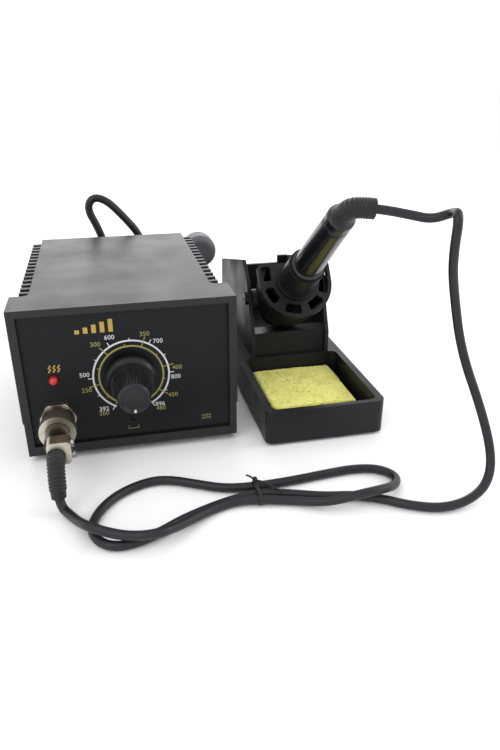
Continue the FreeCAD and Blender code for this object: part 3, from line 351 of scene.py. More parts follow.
# Transformer steel: stacked laminations read as fine lines.
LAMINATION = Finish("stacked_laminations", "#4A4B50", "#36373B", 0.45, metallic=0.8,
                    grain_mm=0.5, depth_mm=0.15, pattern=Pattern.WOUND)
WINDING = Finish("taped_winding", "#C79A3B", "#A87C28", 0.5, grain_mm=0.6, depth_mm=0.12,
                 pattern=Pattern.WOUND)
# Solder-masked glass-epoxy board.
BOARD = Finish("solder_mask_epoxy", "#1E5A38", "#174A2E", 0.3, grain_mm=3.0, depth_mm=0.02,
               coat=0.3, cloud_mm=6.0)
COMPONENT = Finish("moulded_component", "#222428", "#2D2F34", 0.45, grain_mm=0.6, depth_mm=0.02)
ALUMINIUM = Finish("extruded_aluminium", "#BDBFC3", "#A4A6AA", 0.35, metallic=1.0, grain_mm=0.7,
                   depth_mm=0.012, pattern=Pattern.BRUSHED)
PHENOLIC = Finish("phenolic_insulator", "#5A3A22", "#4A2E1A", 0.5, grain_mm=0.8)
BRASS = Finish("turned_brass", "#C9A24B", "#B08A3A", 0.25, metallic=1.0, grain_mm=0.5,
               depth_mm=0.006, cloud_mm=5.0)
CERAMIC = Finish("alumina_ceramic", "#E4E0D8", "#D5CFC4", 0.5, grain_mm=0.6)
# Dry cellulose sponge: pale lime yellow, open pores from half a millimetre to two, painted darker in
# their hollows as shade.
SPONGE = Finish("dry_cellulose_sponge", "#DFD962", "#F2EE88", 0.92, grain_mm=2.1, depth_mm=0.6,
                cloud_mm=9.0, pattern=Pattern.PORES, sheen=0.15)
# Dyed clear epoxy of the lamp, unlit.
LAMP_RED = Finish("dyed_epoxy_lamp", "#C4161C", "#8E0D14", 0.12, coat=0.6, grain_mm=1.2,
                  depth_mm=0.004, cloud_mm=3.0)
PLUG_PVC = Finish("moulded_pvc_grey", "#525358", "#5F6065", 0.5, grain_mm=0.6, depth_mm=0.03)
KNOB_ABS = Finish("moulded_knob_abs", "#141518", "#191A1D", 0.3, ior=1.42, grain_mm=0.8,
                  depth_mm=0.012)
FUSE_GLASS = Finish("fuse_glass", "#E8ECEC", "#DDE3E3", 0.05, transmission=0.9, depth_mm=0.001)


# Screen-printed inks: flat, slightly raised.
def ink_finish(name: str, colour: str, second: str, rough: float = 0.5) -> Finish:
    """One printing ink, by its name and two near colours."""
    return Finish("screen_print_" + name, colour, second, rough, grain_mm=0.6, depth_mm=0.004)


GOLD_INK = ink_finish("gold", "#B99A45", "#A88A3C", 0.45)
OLIVE_INK = ink_finish("olive", "#99924F", "#8A8346")
WHITE_INK = ink_finish("white", "#D4D4D6", "#C6C6C9")
DIM_INK = ink_finish("dim", "#6A6434", "#5E592E")
# Olive strip on the handle: a soft film laid on its gloss.
OLIVE_FILM = Finish("olive_film_strip", "#84834F", "#727140", 0.36, coat=0.1, grain_mm=0.5,
                    depth_mm=0.004, cloud_mm=12.0)


# ------------------------------------------------------------------ shared making
def finish(piece: bpy.types.Object, coat: Finish, body: str,
           stands_for: Iterable[str] = ()) -> bpy.types.Object:
    """Dress a piece, settle it and fix it to its body.

    Args:
        piece: the new mesh.
        coat: its finish.
        body: the CAD body that it rides on.
        stands_for: CAD nodes that it replaces.

    Returns:
        The same piece.
    """
    settle(piece)
    piece.data.materials.clear()
    piece.data.materials.append(coat.material())
    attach(piece, body)
    for node in stands_for:
        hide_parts(node)
    log.info("%s rides on %s, %d faces", piece.name, body, len(piece.data.polygons))
    return piece


def dress_node(node: str, coat: Finish) -> None:
    """Give a CAD node that is kept its finish."""
    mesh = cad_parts[node].data
    mesh.materials.clear()
    mesh.materials.append(coat.material())
    log.info("%s keeps its CAD shape", node)


def eased(node: str, name: str, coat: Finish, body: str, edge_mm: float,
          segments: int = 2, sharp: float = 32.0,
          reshape: Callable[[Vector], Vector] | None = None) -> bpy.types.Object:
    """Copy a CAD node, ease its edges as a mould does, and let the copy stand for it.

    Args:
        node: the CAD node.
        name: the new piece's name.
        coat: its finish.
        body: the body it rides on.
        edge_mm: the radius of the eased edges.
        segments: steps round each edge.
        sharp: edges that turn more than this many degrees are eased.
        reshape: moves each corner of the copy, given in drawing millimetres.

    Returns:
        The new piece.
    """
    copy = bpy.data.objects.new(name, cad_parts[node].data.copy())
    bpy.context.scene.collection.objects.link(copy)
    only(copy)
    bpy.ops.object.mode_set(mode="EDIT")
    bpy.ops.mesh.select_all(action="SELECT")
    bpy.ops.mesh.remove_doubles(threshold=2e-6)
    bpy.ops.mesh.dissolve_limited(angle_limit=math.radians(1.0))
    bpy.ops.object.mode_set(mode="OBJECT")
    if reshape:
        for corner in copy.data.vertices:
            corner.co = FRAME.at(reshape((corner.co - FRAME.shift) / MM))
    ease = copy.modifiers.new("ease", "BEVEL")
    ease.width = edge_mm * MM
    ease.segments = segments
    ease.limit_method = "ANGLE"
    ease.angle_limit = math.radians(sharp)
    ease.use_clamp_overlap = True
    ease.harden_normals = False
    apply_modifiers(copy)
    smooth(copy, 30.0)
    even = copy.modifiers.new("even", "WEIGHTED_NORMAL")
    even.keep_sharp = True
    apply_modifiers(copy)
    return finish(copy, coat, body, [node])


def turned(name: str, centre: Vector, direction: Vector, profile: Sequence[tuple[float, float]],
           steps: int = 64) -> bpy.types.Object:
    """Turn a closed piece: a disc pushed along an axis and resized at each station.

    Args:
        name: the piece's name.
        centre: the point on the axis where the profile's heights start.
        direction: the axis.
        profile: (radius, height) stations in mm; the first and last are capped.
        steps: sides round the piece.

    Returns:
        The piece, outward-facing.
    """
    deselect()
    bpy.ops.mesh.primitive_circle_add(vertices=steps, radius=profile[0][0] * MM, fill_type="NGON",
                                      location=(0, 0, profile[0][1] * MM))
    piece = newest(name)
    settle(piece)
    bpy.ops.object.mode_set(mode="EDIT")
    bpy.ops.mesh.select_all(action="SELECT")
    for (r0, h0), (r1, h1) in zip(profile, profile[1:]):
        bpy.ops.mesh.extrude_region_move(
            TRANSFORM_OT_translate={"value": (0, 0, (h1 - h0) * MM)})
        ratio = r1 / r0
        bpy.ops.transform.resize(value=(ratio, ratio, 1.0), center_override=(0, 0, h1 * MM))
    bpy.ops.object.mode_set(mode="OBJECT")
    turn = Vector((0, 0, 1)).rotation_difference(direction.normalized()).to_matrix().to_4x4()
    piece.data.transform(Matrix.Translation(centre) @ turn)
    return outward(piece)


def bar(name: str, low: Vector, high: Vector, edge: float = 0.0) -> bpy.types.Object:
    """A block between two corners with eased edges."""
    deselect()
    size = high - low
    bpy.ops.mesh.primitive_cube_add(size=1.0, location=(low + high) / 2)
    piece = newest(name)
    piece.scale = size
    settle(piece)
    if edge:
        bpy.ops.object.mode_set(mode="EDIT")
        bpy.ops.mesh.select_all(action="SELECT")
        bpy.ops.mesh.bevel(offset=edge * MM, segments=2, affect="EDGES")
        bpy.ops.object.mode_set(mode="OBJECT")
    return piece


def spline_points(points: Sequence[Vector], resolution: int = 8) -> list[Vector]:
    """Read the smooth line of a NURBS spline whose control points are given."""
    line = nurbs("route_guide", points, 0.0, resolution)
    graph = bpy.context.evaluated_depsgraph_get()
    mesh = bpy.data.meshes.new_from_object(line.evaluated_get(graph))
    found = [v.co.copy() for v in mesh.vertices]
    bpy.data.objects.remove(line)
    bpy.data.meshes.remove(mesh)
    return found


def nurbs(name: str, points: Sequence[Vector], radius: float, resolution: int = 8) -> bpy.types.Object:
    """A NURBS curve through its control points, with a round section of a radius in metres."""
    data = bpy.data.curves.new(name, "CURVE")
    data.dimensions = "3D"
    data.resolution_u = resolution
    data.bevel_depth = radius
    data.bevel_resolution = 5
    data.use_fill_caps = True
    spline = data.splines.new("NURBS")
    spline.points.add(len(points) - 1)
    for knot, point in zip(spline.points, points):
        knot.co = (point.x, point.y, point.z, 1.0)
    spline.order_u = 3
    spline.use_endpoint_u = True
    piece = bpy.data.objects.new(name, data)
    bpy.context.scene.collection.objects.link(piece)
    return piece


def sleeve(name: str, line: Sequence[Vector], radius_at: Callable[[float], float],
           sides: int = 24, waves: Callable[[float], float] | None = None) -> bpy.types.Object:
    """A closed tube that follows a line, with a radius that changes along it.

    Args:
        name: the piece's name.
        line: the ring centres.
        radius_at: radius in mm for a share of the length from 0 to 1.
        sides: sides round the tube.
        waves: an extra radius in mm for the same share, such as ribs.

    Returns:
        The tube.
    """
    lengths = [0.0]
    for a, b in zip(line, line[1:]):
        lengths.append(lengths[-1] + (b - a).length)
    total = lengths[-1]
    verts: list[Vector] = []
    faces: list[tuple[int, ...]] = []
    side = Vector((0, 0, 1))
    count = len(line)
    for k, here in enumerate(line):
        ahead = (line[min(k + 1, count - 1)] - line[max(k - 1, 0)]).normalized()
        side = (side - ahead * side.dot(ahead)).normalized()
        if side.length < 0.5:
            side = ahead.orthogonal().normalized()
        other = ahead.cross(side)
        share = lengths[k] / total
        r = (radius_at(share) + (waves(share) if waves else 0.0)) * MM
        for j in range(sides):
            a = 2 * math.pi * j / sides
            verts.append(here + side * (r * math.cos(a)) + other * (r * math.sin(a)))
        if k:
            for j in range(sides):
                a, b = (k - 1) * sides + j, (k - 1) * sides + (j + 1) % sides
                faces.append((a, b, b + sides, a + sides))
    faces.append(tuple(reversed(range(sides))))
    faces.append(tuple((count - 1) * sides + j for j in range(sides)))
    mesh = bpy.data.meshes.new(name)
    mesh.from_pydata([tuple(v) for v in verts], [], faces)
    piece = bpy.data.objects.new(name, mesh)
    bpy.context.scene.collection.objects.link(piece)
    return smooth(outward(piece), 50.0)


# ------------------------------------------------------------------ studio
@dataclass
class Studio:
    """Camera, pale floor and soft light."""

    eye: Point = (-7.8, -326.1, 199.9)
    down_degrees: float = 25.30
    right_degrees: float = 12.99
    lens: float = 30.87
    floor_size: float = 12.0

    def build(self) -> None:
        """Make the camera, the floor and the lights."""
        self.camera()
        self.floor()
        self.lights()

    def camera(self) -> None:
        """Stand the camera at its place."""
        data = bpy.data.cameras.new("camera")
        data.lens = self.lens
        data.sensor_width = 36.0
        data.clip_start = 0.01
        camera = bpy.data.objects.new("camera", data)
        bpy.context.scene.collection.objects.link(camera)
        camera.location = FRAME.at(self.eye)
        camera.rotation_euler = (math.radians(90 - self.down_degrees), 0.0,
                                 -math.radians(self.right_degrees))
        bpy.context.scene.camera = camera

    def floor(self) -> None:
        """Lay a plain white floor."""
        deselect()
        bpy.ops.mesh.primitive_plane_add(size=self.floor_size, location=(0, 0, -0.0002))
        ground = settle(newest("floor"))
        paper = Finish("matt_white_paper", "#FDFDFD", "#FAFAFA", 0.9, depth_mm=0.0)
        ground.data.materials.append(paper.material())

    def lights(self) -> None:
        """Set a bright world, a large low light behind, and two weak ones in front."""
        bpy.context.scene.view_settings.view_transform = "Standard"
        world = bpy.data.worlds.new("studio")
        bpy.context.scene.world = world
        world.use_nodes = True
        world.node_tree.nodes["Background"].inputs["Color"].default_value = (1, 1, 1, 1)
        world.node_tree.nodes["Background"].inputs["Strength"].default_value = 1.03
        self.area("key", (150, 1300, 620), (20, 60, 40), 1000, 5.0)
        self.area("fill", (-500, -500, 700), (20, 30, 40), 600, 2.0)
        self.area("right", (900, -100, 500), (110, 40, 60), 500, 2.5)

    def area(self, name: str, at: Point, towards: Point, size: float, watts: float) -> None:
        """Add one square area light aimed at a point."""
        data = bpy.data.lights.new(name, "AREA")
        data.size = size * MM
        data.energy = watts
        lamp = bpy.data.objects.new(name, data)
        bpy.context.scene.collection.objects.link(lamp)
        lamp.location = FRAME.at(at)
        aim = FRAME.at(towards) - lamp.location
        lamp.rotation_euler = aim.to_track_quat("-Z", "Y").to_euler()


# ------------------------------------------------------------------ control unit
@dataclass
class Scale:
    """The printed dial: two rings, ticks and numbers, and the small marks beside it."""

    x: float = 0.7
    z: float = 47.5
    outer: float = 21.2
    inner: float = 18.05
    line: float = 0.95
    ink: float = 0.05
    open_from: float = 152.0
    long_tick: float = 1.9
    wide_tick: float = 0.5
    thin_tick: float = 0.4
    number_size: float = 3.7
    face_y: float = field(default=0.0)
    white_ticks: tuple[tuple[float, float, float], ...] = (
        (-149.5, 20.6, 2.9), (-89.5, 20.6, 2.9), (-29.5, 20.6, 2.9), (30.5, 20.6, 2.9),
        (90.5, 20.6, 2.9), (150.5, 20.6, 2.9), (-119.5, 20.6, 1.6), (-59.5, 20.6, 1.6),
        (0.5, 20.6, 1.6), (60.5, 20.6, 1.6), (120.5, 20.6, 1.6))
    olive_ticks: tuple[tuple[float, float, float], ...] = (
        (-149.5, 17.5, 2.0), (-102, 17.5, 6.4), (-41.5, 17.5, 6.4), (21.5, 17.5, 6.4),
        (78.5, 17.5, 6.4), (125, 17.5, 6.4), (150.5, 17.5, 2.0), (-130.5, 17.5, 1.5),
        (-72.5, 17.5, 1.5), (-7.5, 17.5, 1.5), (52, 17.5, 1.5), (101.5, 17.5, 1.5))
    outer_numbers: tuple[tuple[str, float, float], ...] = (
        ("392", -16.7, -19.2), ("500", -25.2, 2.6), ("600", -10.1, 23.4), ("700", 15.6, 19.1),
        ("800", 24.4, -3.3), ("896", 14.7, -19.5))
    inner_numbers: tuple[tuple[str, float, float], ...] = (
        ("200", -16.9, -21.9), ("250", -24.9, -6.7), ("300", -17.8, 20.0), ("350", 8.6, 23.8),
        ("400", 25.4, 2.4), ("450", 22.3, -14.5), ("480", 15.0, -22.2))

    def build(self) -> None:
        """Print everything on the panel's face."""
        self.face_y = (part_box("front_panel")[0].y - FRAME.shift.y) / MM
        self.ring("dial_ring_white", self.outer, WHITE_INK)
        self.ring("dial_ring_olive", self.inner, OLIVE_INK)
        self.ticks("dial_ticks_white", self.white_ticks, WHITE_INK)
        self.ticks("dial_ticks_olive", self.olive_ticks, OLIVE_INK)
        self.numbers("dial_numbers_white", self.outer_numbers, WHITE_INK)
        self.numbers("dial_numbers_gold", self.inner_numbers, OLIVE_INK)
        self.marks()

    def spot(self, degrees: float, r: float) -> Vector:
        """A place on the dial, clockwise from the top."""
        a = math.radians(degrees)
        return FRAME.at((self.x + r * math.sin(a), self.face_y, self.z + r * math.cos(a)))

    def ring(self, name: str, r: float, ink: Finish) -> None:
        """Print one ring: a circle pushed inwards to its line width and given thickness."""
        deselect()
        bpy.ops.mesh.primitive_circle_add(vertices=128, radius=r * MM, fill_type="NOTHING")
        piece = newest(name)
        bpy.ops.object.mode_set(mode="EDIT")
        bpy.ops.mesh.select_mode(type="VERT")
        bpy.ops.mesh.select_all(action="SELECT")
        bpy.ops.mesh.extrude_region_move()
        inner = (r - self.line) / r
        bpy.ops.transform.resize(value=(inner, inner, 1.0), center_override=(0, 0, 0))
        bpy.ops.object.mode_set(mode="OBJECT")
        choose_faces(piece, lambda at, _: abs(math.degrees(math.atan2(at.x, at.y)))
                     > self.open_from)
        bpy.ops.mesh.delete(type="FACE")
        bpy.ops.mesh.select_all(action="SELECT")
        bpy.ops.mesh.extrude_region_move(TRANSFORM_OT_translate={"value": (0, 0, self.ink * MM)})
        bpy.ops.object.mode_set(mode="OBJECT")
        outward(piece)
        piece.data.transform(Matrix.Translation(self.spot(0, 0)) @ Matrix.Rotation(
            math.radians(90), 4, "X"))
        self.dry(piece, ink)

    def ticks(self, name: str, entries: Sequence[tuple[float, float, float]], ink: Finish) -> None:
        """Print the division marks, each from an angle, a start radius and a length."""
        made = []
        for angle, r, length in entries:
            wide = self.wide_tick if length > self.long_tick else self.thin_tick
            start = self.spot(0, r)
            mark = bar("tick", start + Vector((-wide / 2, -1.2 * self.ink, 0)) * MM,
                       start + Vector((wide / 2, 0, length)) * MM)
            turn_about(mark, self.spot(0, 0), "Y", angle)
            made.append(mark)
        self.dry(joined(made, name), ink)

    def numbers(self, name: str, entries: Sequence[tuple[str, float, float]], ink: Finish) -> None:
        """Print upright numbers, each from its offset to the dial's middle."""
        made = []
        for text, across, up in entries:
            bpy.ops.object.text_add(location=(0, 0, 0))
            label = bpy.context.object
            label.data.body = text
            label.data.size = self.number_size * MM
            label.data.align_x = "CENTER"
            label.data.align_y = "CENTER"
            label.data.extrude = self.ink * MM / 2
            label.data.resolution_u = 3
            only(label)
            bpy.ops.object.convert(target="MESH")
            at = self.spot(0, 0) + Vector((across, -self.ink / 2, up)) * MM
            label.data.transform(Matrix.Translation(at) @ Matrix.Rotation(math.radians(90), 4, "X"))
            made.append(label)
        self.dry(outward(joined(made, name)), ink)

    def marks(self) -> None:
        """Print the plain marks: rising bars, three heat waves, a trim bracket and two rows."""
        bars_x, bars_z, step, rise = -27.0, 74.2, 4.4, 1.25
        rising = [self.block(bars_x + step * k, 2.4, 2.2 + rise * k, bars_z) for k in range(5)]
        self.dry(joined(rising, "heat_bars"), GOLD_INK)
        waves_x, waves_z, gap, sway, up = -42.6, 53.4, 2.4, 0.35, 1.05
        waves = [self.block(waves_x + gap * k + (sway if j % 2 else -sway), 0.8, 1.15,
                            waves_z + up * j) for k in range(3) for j in range(4)]
        self.dry(joined(waves, "warming_mark"), GOLD_INK)
        trim = [self.block(-3.6, 0.5, 1.6, 14.4), self.block(2.1, 0.5, 1.6, 14.4),
                self.block(-3.6, 6.2, 0.5, 13.9)]
        self.dry(joined(trim, "trim_mark"), DIM_INK)
        rows_x, rows_z, pitch, lead = 38.9, 15.2, 1.45, 1.8
        rows = [self.block(rows_x + pitch * k, 1.15, 1.1, rows_z + lead * row)
                for row in range(2) for k in range(4)]
        self.dry(joined(rows, "corner_mark"), DIM_INK)

    @staticmethod
    def dry(mark: bpy.types.Object, ink: Finish) -> None:
        """Give a print its ink and fix it to the panel."""
        finish(mark, ink, "set")

    def block(self, x: float, wide: float, tall: float, z: float) -> bpy.types.Object:
        """One printed rectangle with its lower left corner at (x, z)."""
        return bar("print", FRAME.at((x, self.face_y - self.ink, z)),
                   FRAME.at((x + wide, self.face_y, z + tall)))


@dataclass
class Knob:
    """The fluted temperature knob with its white pointer."""

    x: float = 0.3
    z: float = 47.5
    skirt_r: float = 14.0
    body_r: float = 11.0
    tip_r: float = 8.4
    flutes: int = 36
    depth: float = 0.2

    def build(self) -> None:
        """Make the knob and its pointer."""
        low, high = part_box("temperature_knob")
        tip, back = low.y, high.y
        length = (back - tip) / MM
        centre = Vector((FRAME.at((self.x, 0, 0)).x, back, FRAME.at((0, 0, self.z)).z))
        profile = [(self.skirt_r - 0.8, 0.0), (self.skirt_r, 0.7), (self.skirt_r, 1.9),
                   (self.skirt_r - 0.4, 2.7), (self.skirt_r - 1.1, 3.5), (self.skirt_r - 1.9, 4.5),
                   (self.skirt_r - 2.5, 5.8), (self.body_r, 7.6),
                   (self.tip_r + 0.15, length - 1.6), (self.tip_r - 0.35, length - 0.5),
                   (self.tip_r - 1.1, length), (self.tip_r - 1.9, length - 0.05),
                   (self.tip_r - 2.2, length - 0.45), (0.6, length - 0.35)]
        piece = turned("temperature_knob_moulded", centre, Vector((0, -1, 0)), profile,
                       self.flutes * 4)
        self.flute(piece, centre)
        smooth(piece, 40.0)
        finish(piece, KNOB_ABS, "knob", ["temperature_knob"])
        self.pointer(centre, length)

    def flute(self, piece: bpy.types.Object, centre: Vector) -> None:
        """Push every second pair of the taper's side faces inwards."""
        sector = 2 * math.pi / self.flutes

        def on_taper(at: Vector, area: float) -> bool:
            """Tell the long side faces of the taper that lie in a flute."""
            offset = at - centre
            turn = math.atan2(offset.z, offset.x) % sector
            return bool(area > 6e-6 and -offset.y > 4e-3 and turn < sector / 2)

        choose_faces(piece, on_taper)
        bpy.ops.mesh.inset(thickness=0.1 * MM, depth=-self.depth * MM, use_individual=False)
        bpy.ops.object.mode_set(mode="OBJECT")

    def pointer(self, centre: Vector, length: float) -> None:
        """Set the small white mark at the foot of the tip."""
        front = centre + Vector((0, -length * MM, 0))
        low = front + Vector((-0.6, -0.06, -self.tip_r + 0.8)) * MM
        high = front + Vector((0.6, 0.45, -self.tip_r + 2.4)) * MM
        cap = bar("knob_pointer", low, high, 0.1)
        finish(cap, WHITE_INK, "knob")


@dataclass
class ControlUnit:
    """Case, panel fittings, connector and what is inside."""

    edge: float = 0.7
    relief_ribs: int = 17

    def build(self) -> None:
        """Make every piece of the control unit."""
        eased("upper_case", "cover_moulding", CASE_ABS, "set", self.edge)
        eased("lower_case", "tray_moulding", CASE_ABS, "set", 0.5)
        eased("front_panel", "control_plate", PANEL_ABS, "set", 0.15)
        Scale().build()
        Knob().build()
        eased("indicator_lamp", "indicator_lens", LAMP_RED, "set", 0.1)
        self.connector()
        self.rear()
        self.inside()

    def connector(self) -> None:
        """Nickel-plated panel connector and the lead's plug."""
        for node, name, coat, edge in (
                ("socket_nut", "hex_flange_nut", NICKEL, 0.35),
                ("coupling_ring", "knurled_ring", NICKEL, 0.25),
                # The plug barrel takes the darkened nickel: painted shade.
                ("plug_barrel", "plug_shell", PAINTED_SHADE_NICKEL, 0.25),
                ("cable_clamp", "saddle_clamp", NICKEL, 0.3)):
            body = "lock_ring" if node == "coupling_ring" else "set"
            eased(node, name, coat, body, edge)
        eased("clamp_screws", "saddle_screws", STEEL, "set", 0.15)
        eased("trimmer_rotor", "trimmer_slot", DARKENED_BRASS, "trimmer", 0.08)
        route = [FRAME.at(p) for p in PLUG_RELIEF]
        line = spline_points(route, 70)
        relief = sleeve("plug_strain_relief", line, lambda s: 4.3 - 0.5 * s, 28,
                        self.ribbing(self.relief_ribs, 0.5))
        finish(relief, SOFT_RUBBER, "set", ["plug_relief"])

    @staticmethod
    def ribbing(count: int, depth: float) -> Callable[[float], float]:
        """Give the rib height for a share of a relief's length."""
        return lambda s: depth * (0.5 - 0.5 * math.cos(2 * math.pi * count * s)) * (
            1.0 if 0.08 < s < 0.86 else 0.0)

    def rear(self) -> None:
        """Rear panel, switch, fuse and gland."""
        for node, name, coat, body, slot, edge in (
                ("rear_panel", "rear_plate", CASE_ABS, "set", "panel_plastic", 0.15),
                ("switch_body", "switch_frame", GRIP_GLOSS, "set", "gloss_black", 0.3),
                ("power_rocker", "switch_rocker", GRIP_GLOSS, "rocker", "gloss_black", 0.3),
                ("fuse_holder", "fuse_housing", KNOB_ABS, "set", "gloss_black", 0.3),
                ("fuse_cap", "fuse_cover", KNOB_ABS, "fuse_lid", "gloss_black", 0.4),
                ("mains_gland", "mains_grommet", SOFT_RUBBER, "set", "rubber", 0.4)):
            eased(node, name, coat, body, edge)

    def inside(self) -> None:
        """Finishes of the pieces behind the panels, which keep their CAD shapes."""
        for node, coat in {
                "rubber_feet": SOFT_RUBBER, "transformer_core": LAMINATION,
                "transformer_winding": WINDING, "transformer_bracket": STEEL,
                "control_board": BOARD, "board_parts": COMPONENT, "heat_sink": ALUMINIUM,
                "inner_screws": STEEL, "potentiometer": STEEL, "potentiometer_nut": NICKEL,
                "dial_shaft": ALUMINIUM, "lamp_holder": COMPONENT, "trimmer_body": COMPONENT,
                "socket_shell": NICKEL, "socket_insert": PHENOLIC, "socket_pins": BRASS,
                "fuse": FUSE_GLASS}.items():
            dress_node(node, coat)


# ------------------------------------------------------------------ stand
@dataclass
class Stand:
    """Base, tower, raked holder and sponge."""

    plate_top: float = 13.2
    plate_back: float = -2.4
    rim_back: float = -2.6
    bowl_wall: float = 2.4
    ears_from: float = 24.0
    grid: int = 60
    pit_mm: float = 0.5

    def build(self) -> None:
        """Make the stand's pieces."""
        eased("stand_base", "base_moulding", STAND_RESIN, "set", 0.45, 3)
        eased("tower", "tower_cheeks", STAND_RESIN, "set", 0.6,
              reshape=self.set_tab)
        eased("holder_body", "raked_holder", HOLDER_RESIN, "holder", 0.5,
              reshape=self.level_bowl)
        eased("holder_guard", "guard_tube", BLACK_STEEL, "holder", 0.15)
        eased("tilt_screws", "holder_screws", BLACK_STEEL, "set", 0.08)
        dress_node("stand_feet", SOFT_RUBBER)
        dress_node("tower_screws", STEEL)
        self.sponge()

    @staticmethod
    def set_tab(corner: Vector) -> Vector:
        """Slide the tab on the back wall towards the right cheek."""
        wall_top, near = 58.0, 0.02
        for x, moved in ((115.0, 129.5), (133.0, 137.5)):
            if abs(corner.x - x) < near and corner.z > wall_top:
                return Vector((moved, corner.y, corner.z))
        return corner

    def level_bowl(self, corner: Vector) -> Vector:
        """Level the bowl's top behind the plate with the plate's flat top edge."""
        turn = Matrix.Rotation(math.radians(90.0 - RAKE), 3, "X")
        local = turn.transposed() @ (corner - Vector(HOLDER))
        if local.z > self.plate_back or abs(local.x) > self.ears_from:
            return corner
        from_axis = math.hypot(local.x, local.y)
        inner = local.z < self.rim_back and from_axis < self.bowl_inner_r(local.z)
        local.y = min(local.y, self.plate_top - (self.bowl_wall if inner else 0.0))
        return turn @ local + Vector(HOLDER)

    @staticmethod
    def bowl_inner_r(z: float) -> float:
        """A radius that lies inside the bowl's wall at a height of the holder's frame."""
        for low, r in ((-24.0, 20.9), (-30.5, 19.3), (-34.2, 16.7)):
            if z > low:
                return r
        return 0.0

    def sponge(self) -> None:
        """A sponge block: subdivided, softened at its corners and pitted all over."""
        low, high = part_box("sponge")
        piece = bar("sponge_block", low + Vector((0.3, 0.3, 0.02)) * MM,
                    high - Vector((0.3, 0.3, 0.4)) * MM)
        bpy.ops.object.mode_set(mode="EDIT")
        bpy.ops.mesh.select_all(action="SELECT")
        bpy.ops.mesh.bevel(offset=1.6 * MM, segments=3, affect="EDGES")
        bpy.ops.mesh.select_all(action="SELECT")
        bpy.ops.mesh.subdivide(number_cuts=self.grid)
        bpy.ops.object.mode_set(mode="OBJECT")
        pits = bpy.data.textures.new("sponge_pits", "VORONOI")
        pits.noise_scale = 2.2 * MM
        swell = bpy.data.textures.new("sponge_swell", "CLOUDS")
        swell.noise_scale = 14 * MM
        for texture, strength in ((pits, self.pit_mm), (swell, 0.7)):
            move = piece.modifiers.new(texture.name, "DISPLACE")
            move.texture = texture
            move.texture_coords = "GLOBAL"
            move.strength = strength * MM
            move.mid_level = 0.75
        apply_modifiers(piece)
        smooth(piece, 60.0)
        finish(piece, SPONGE, "pad", ["sponge"])


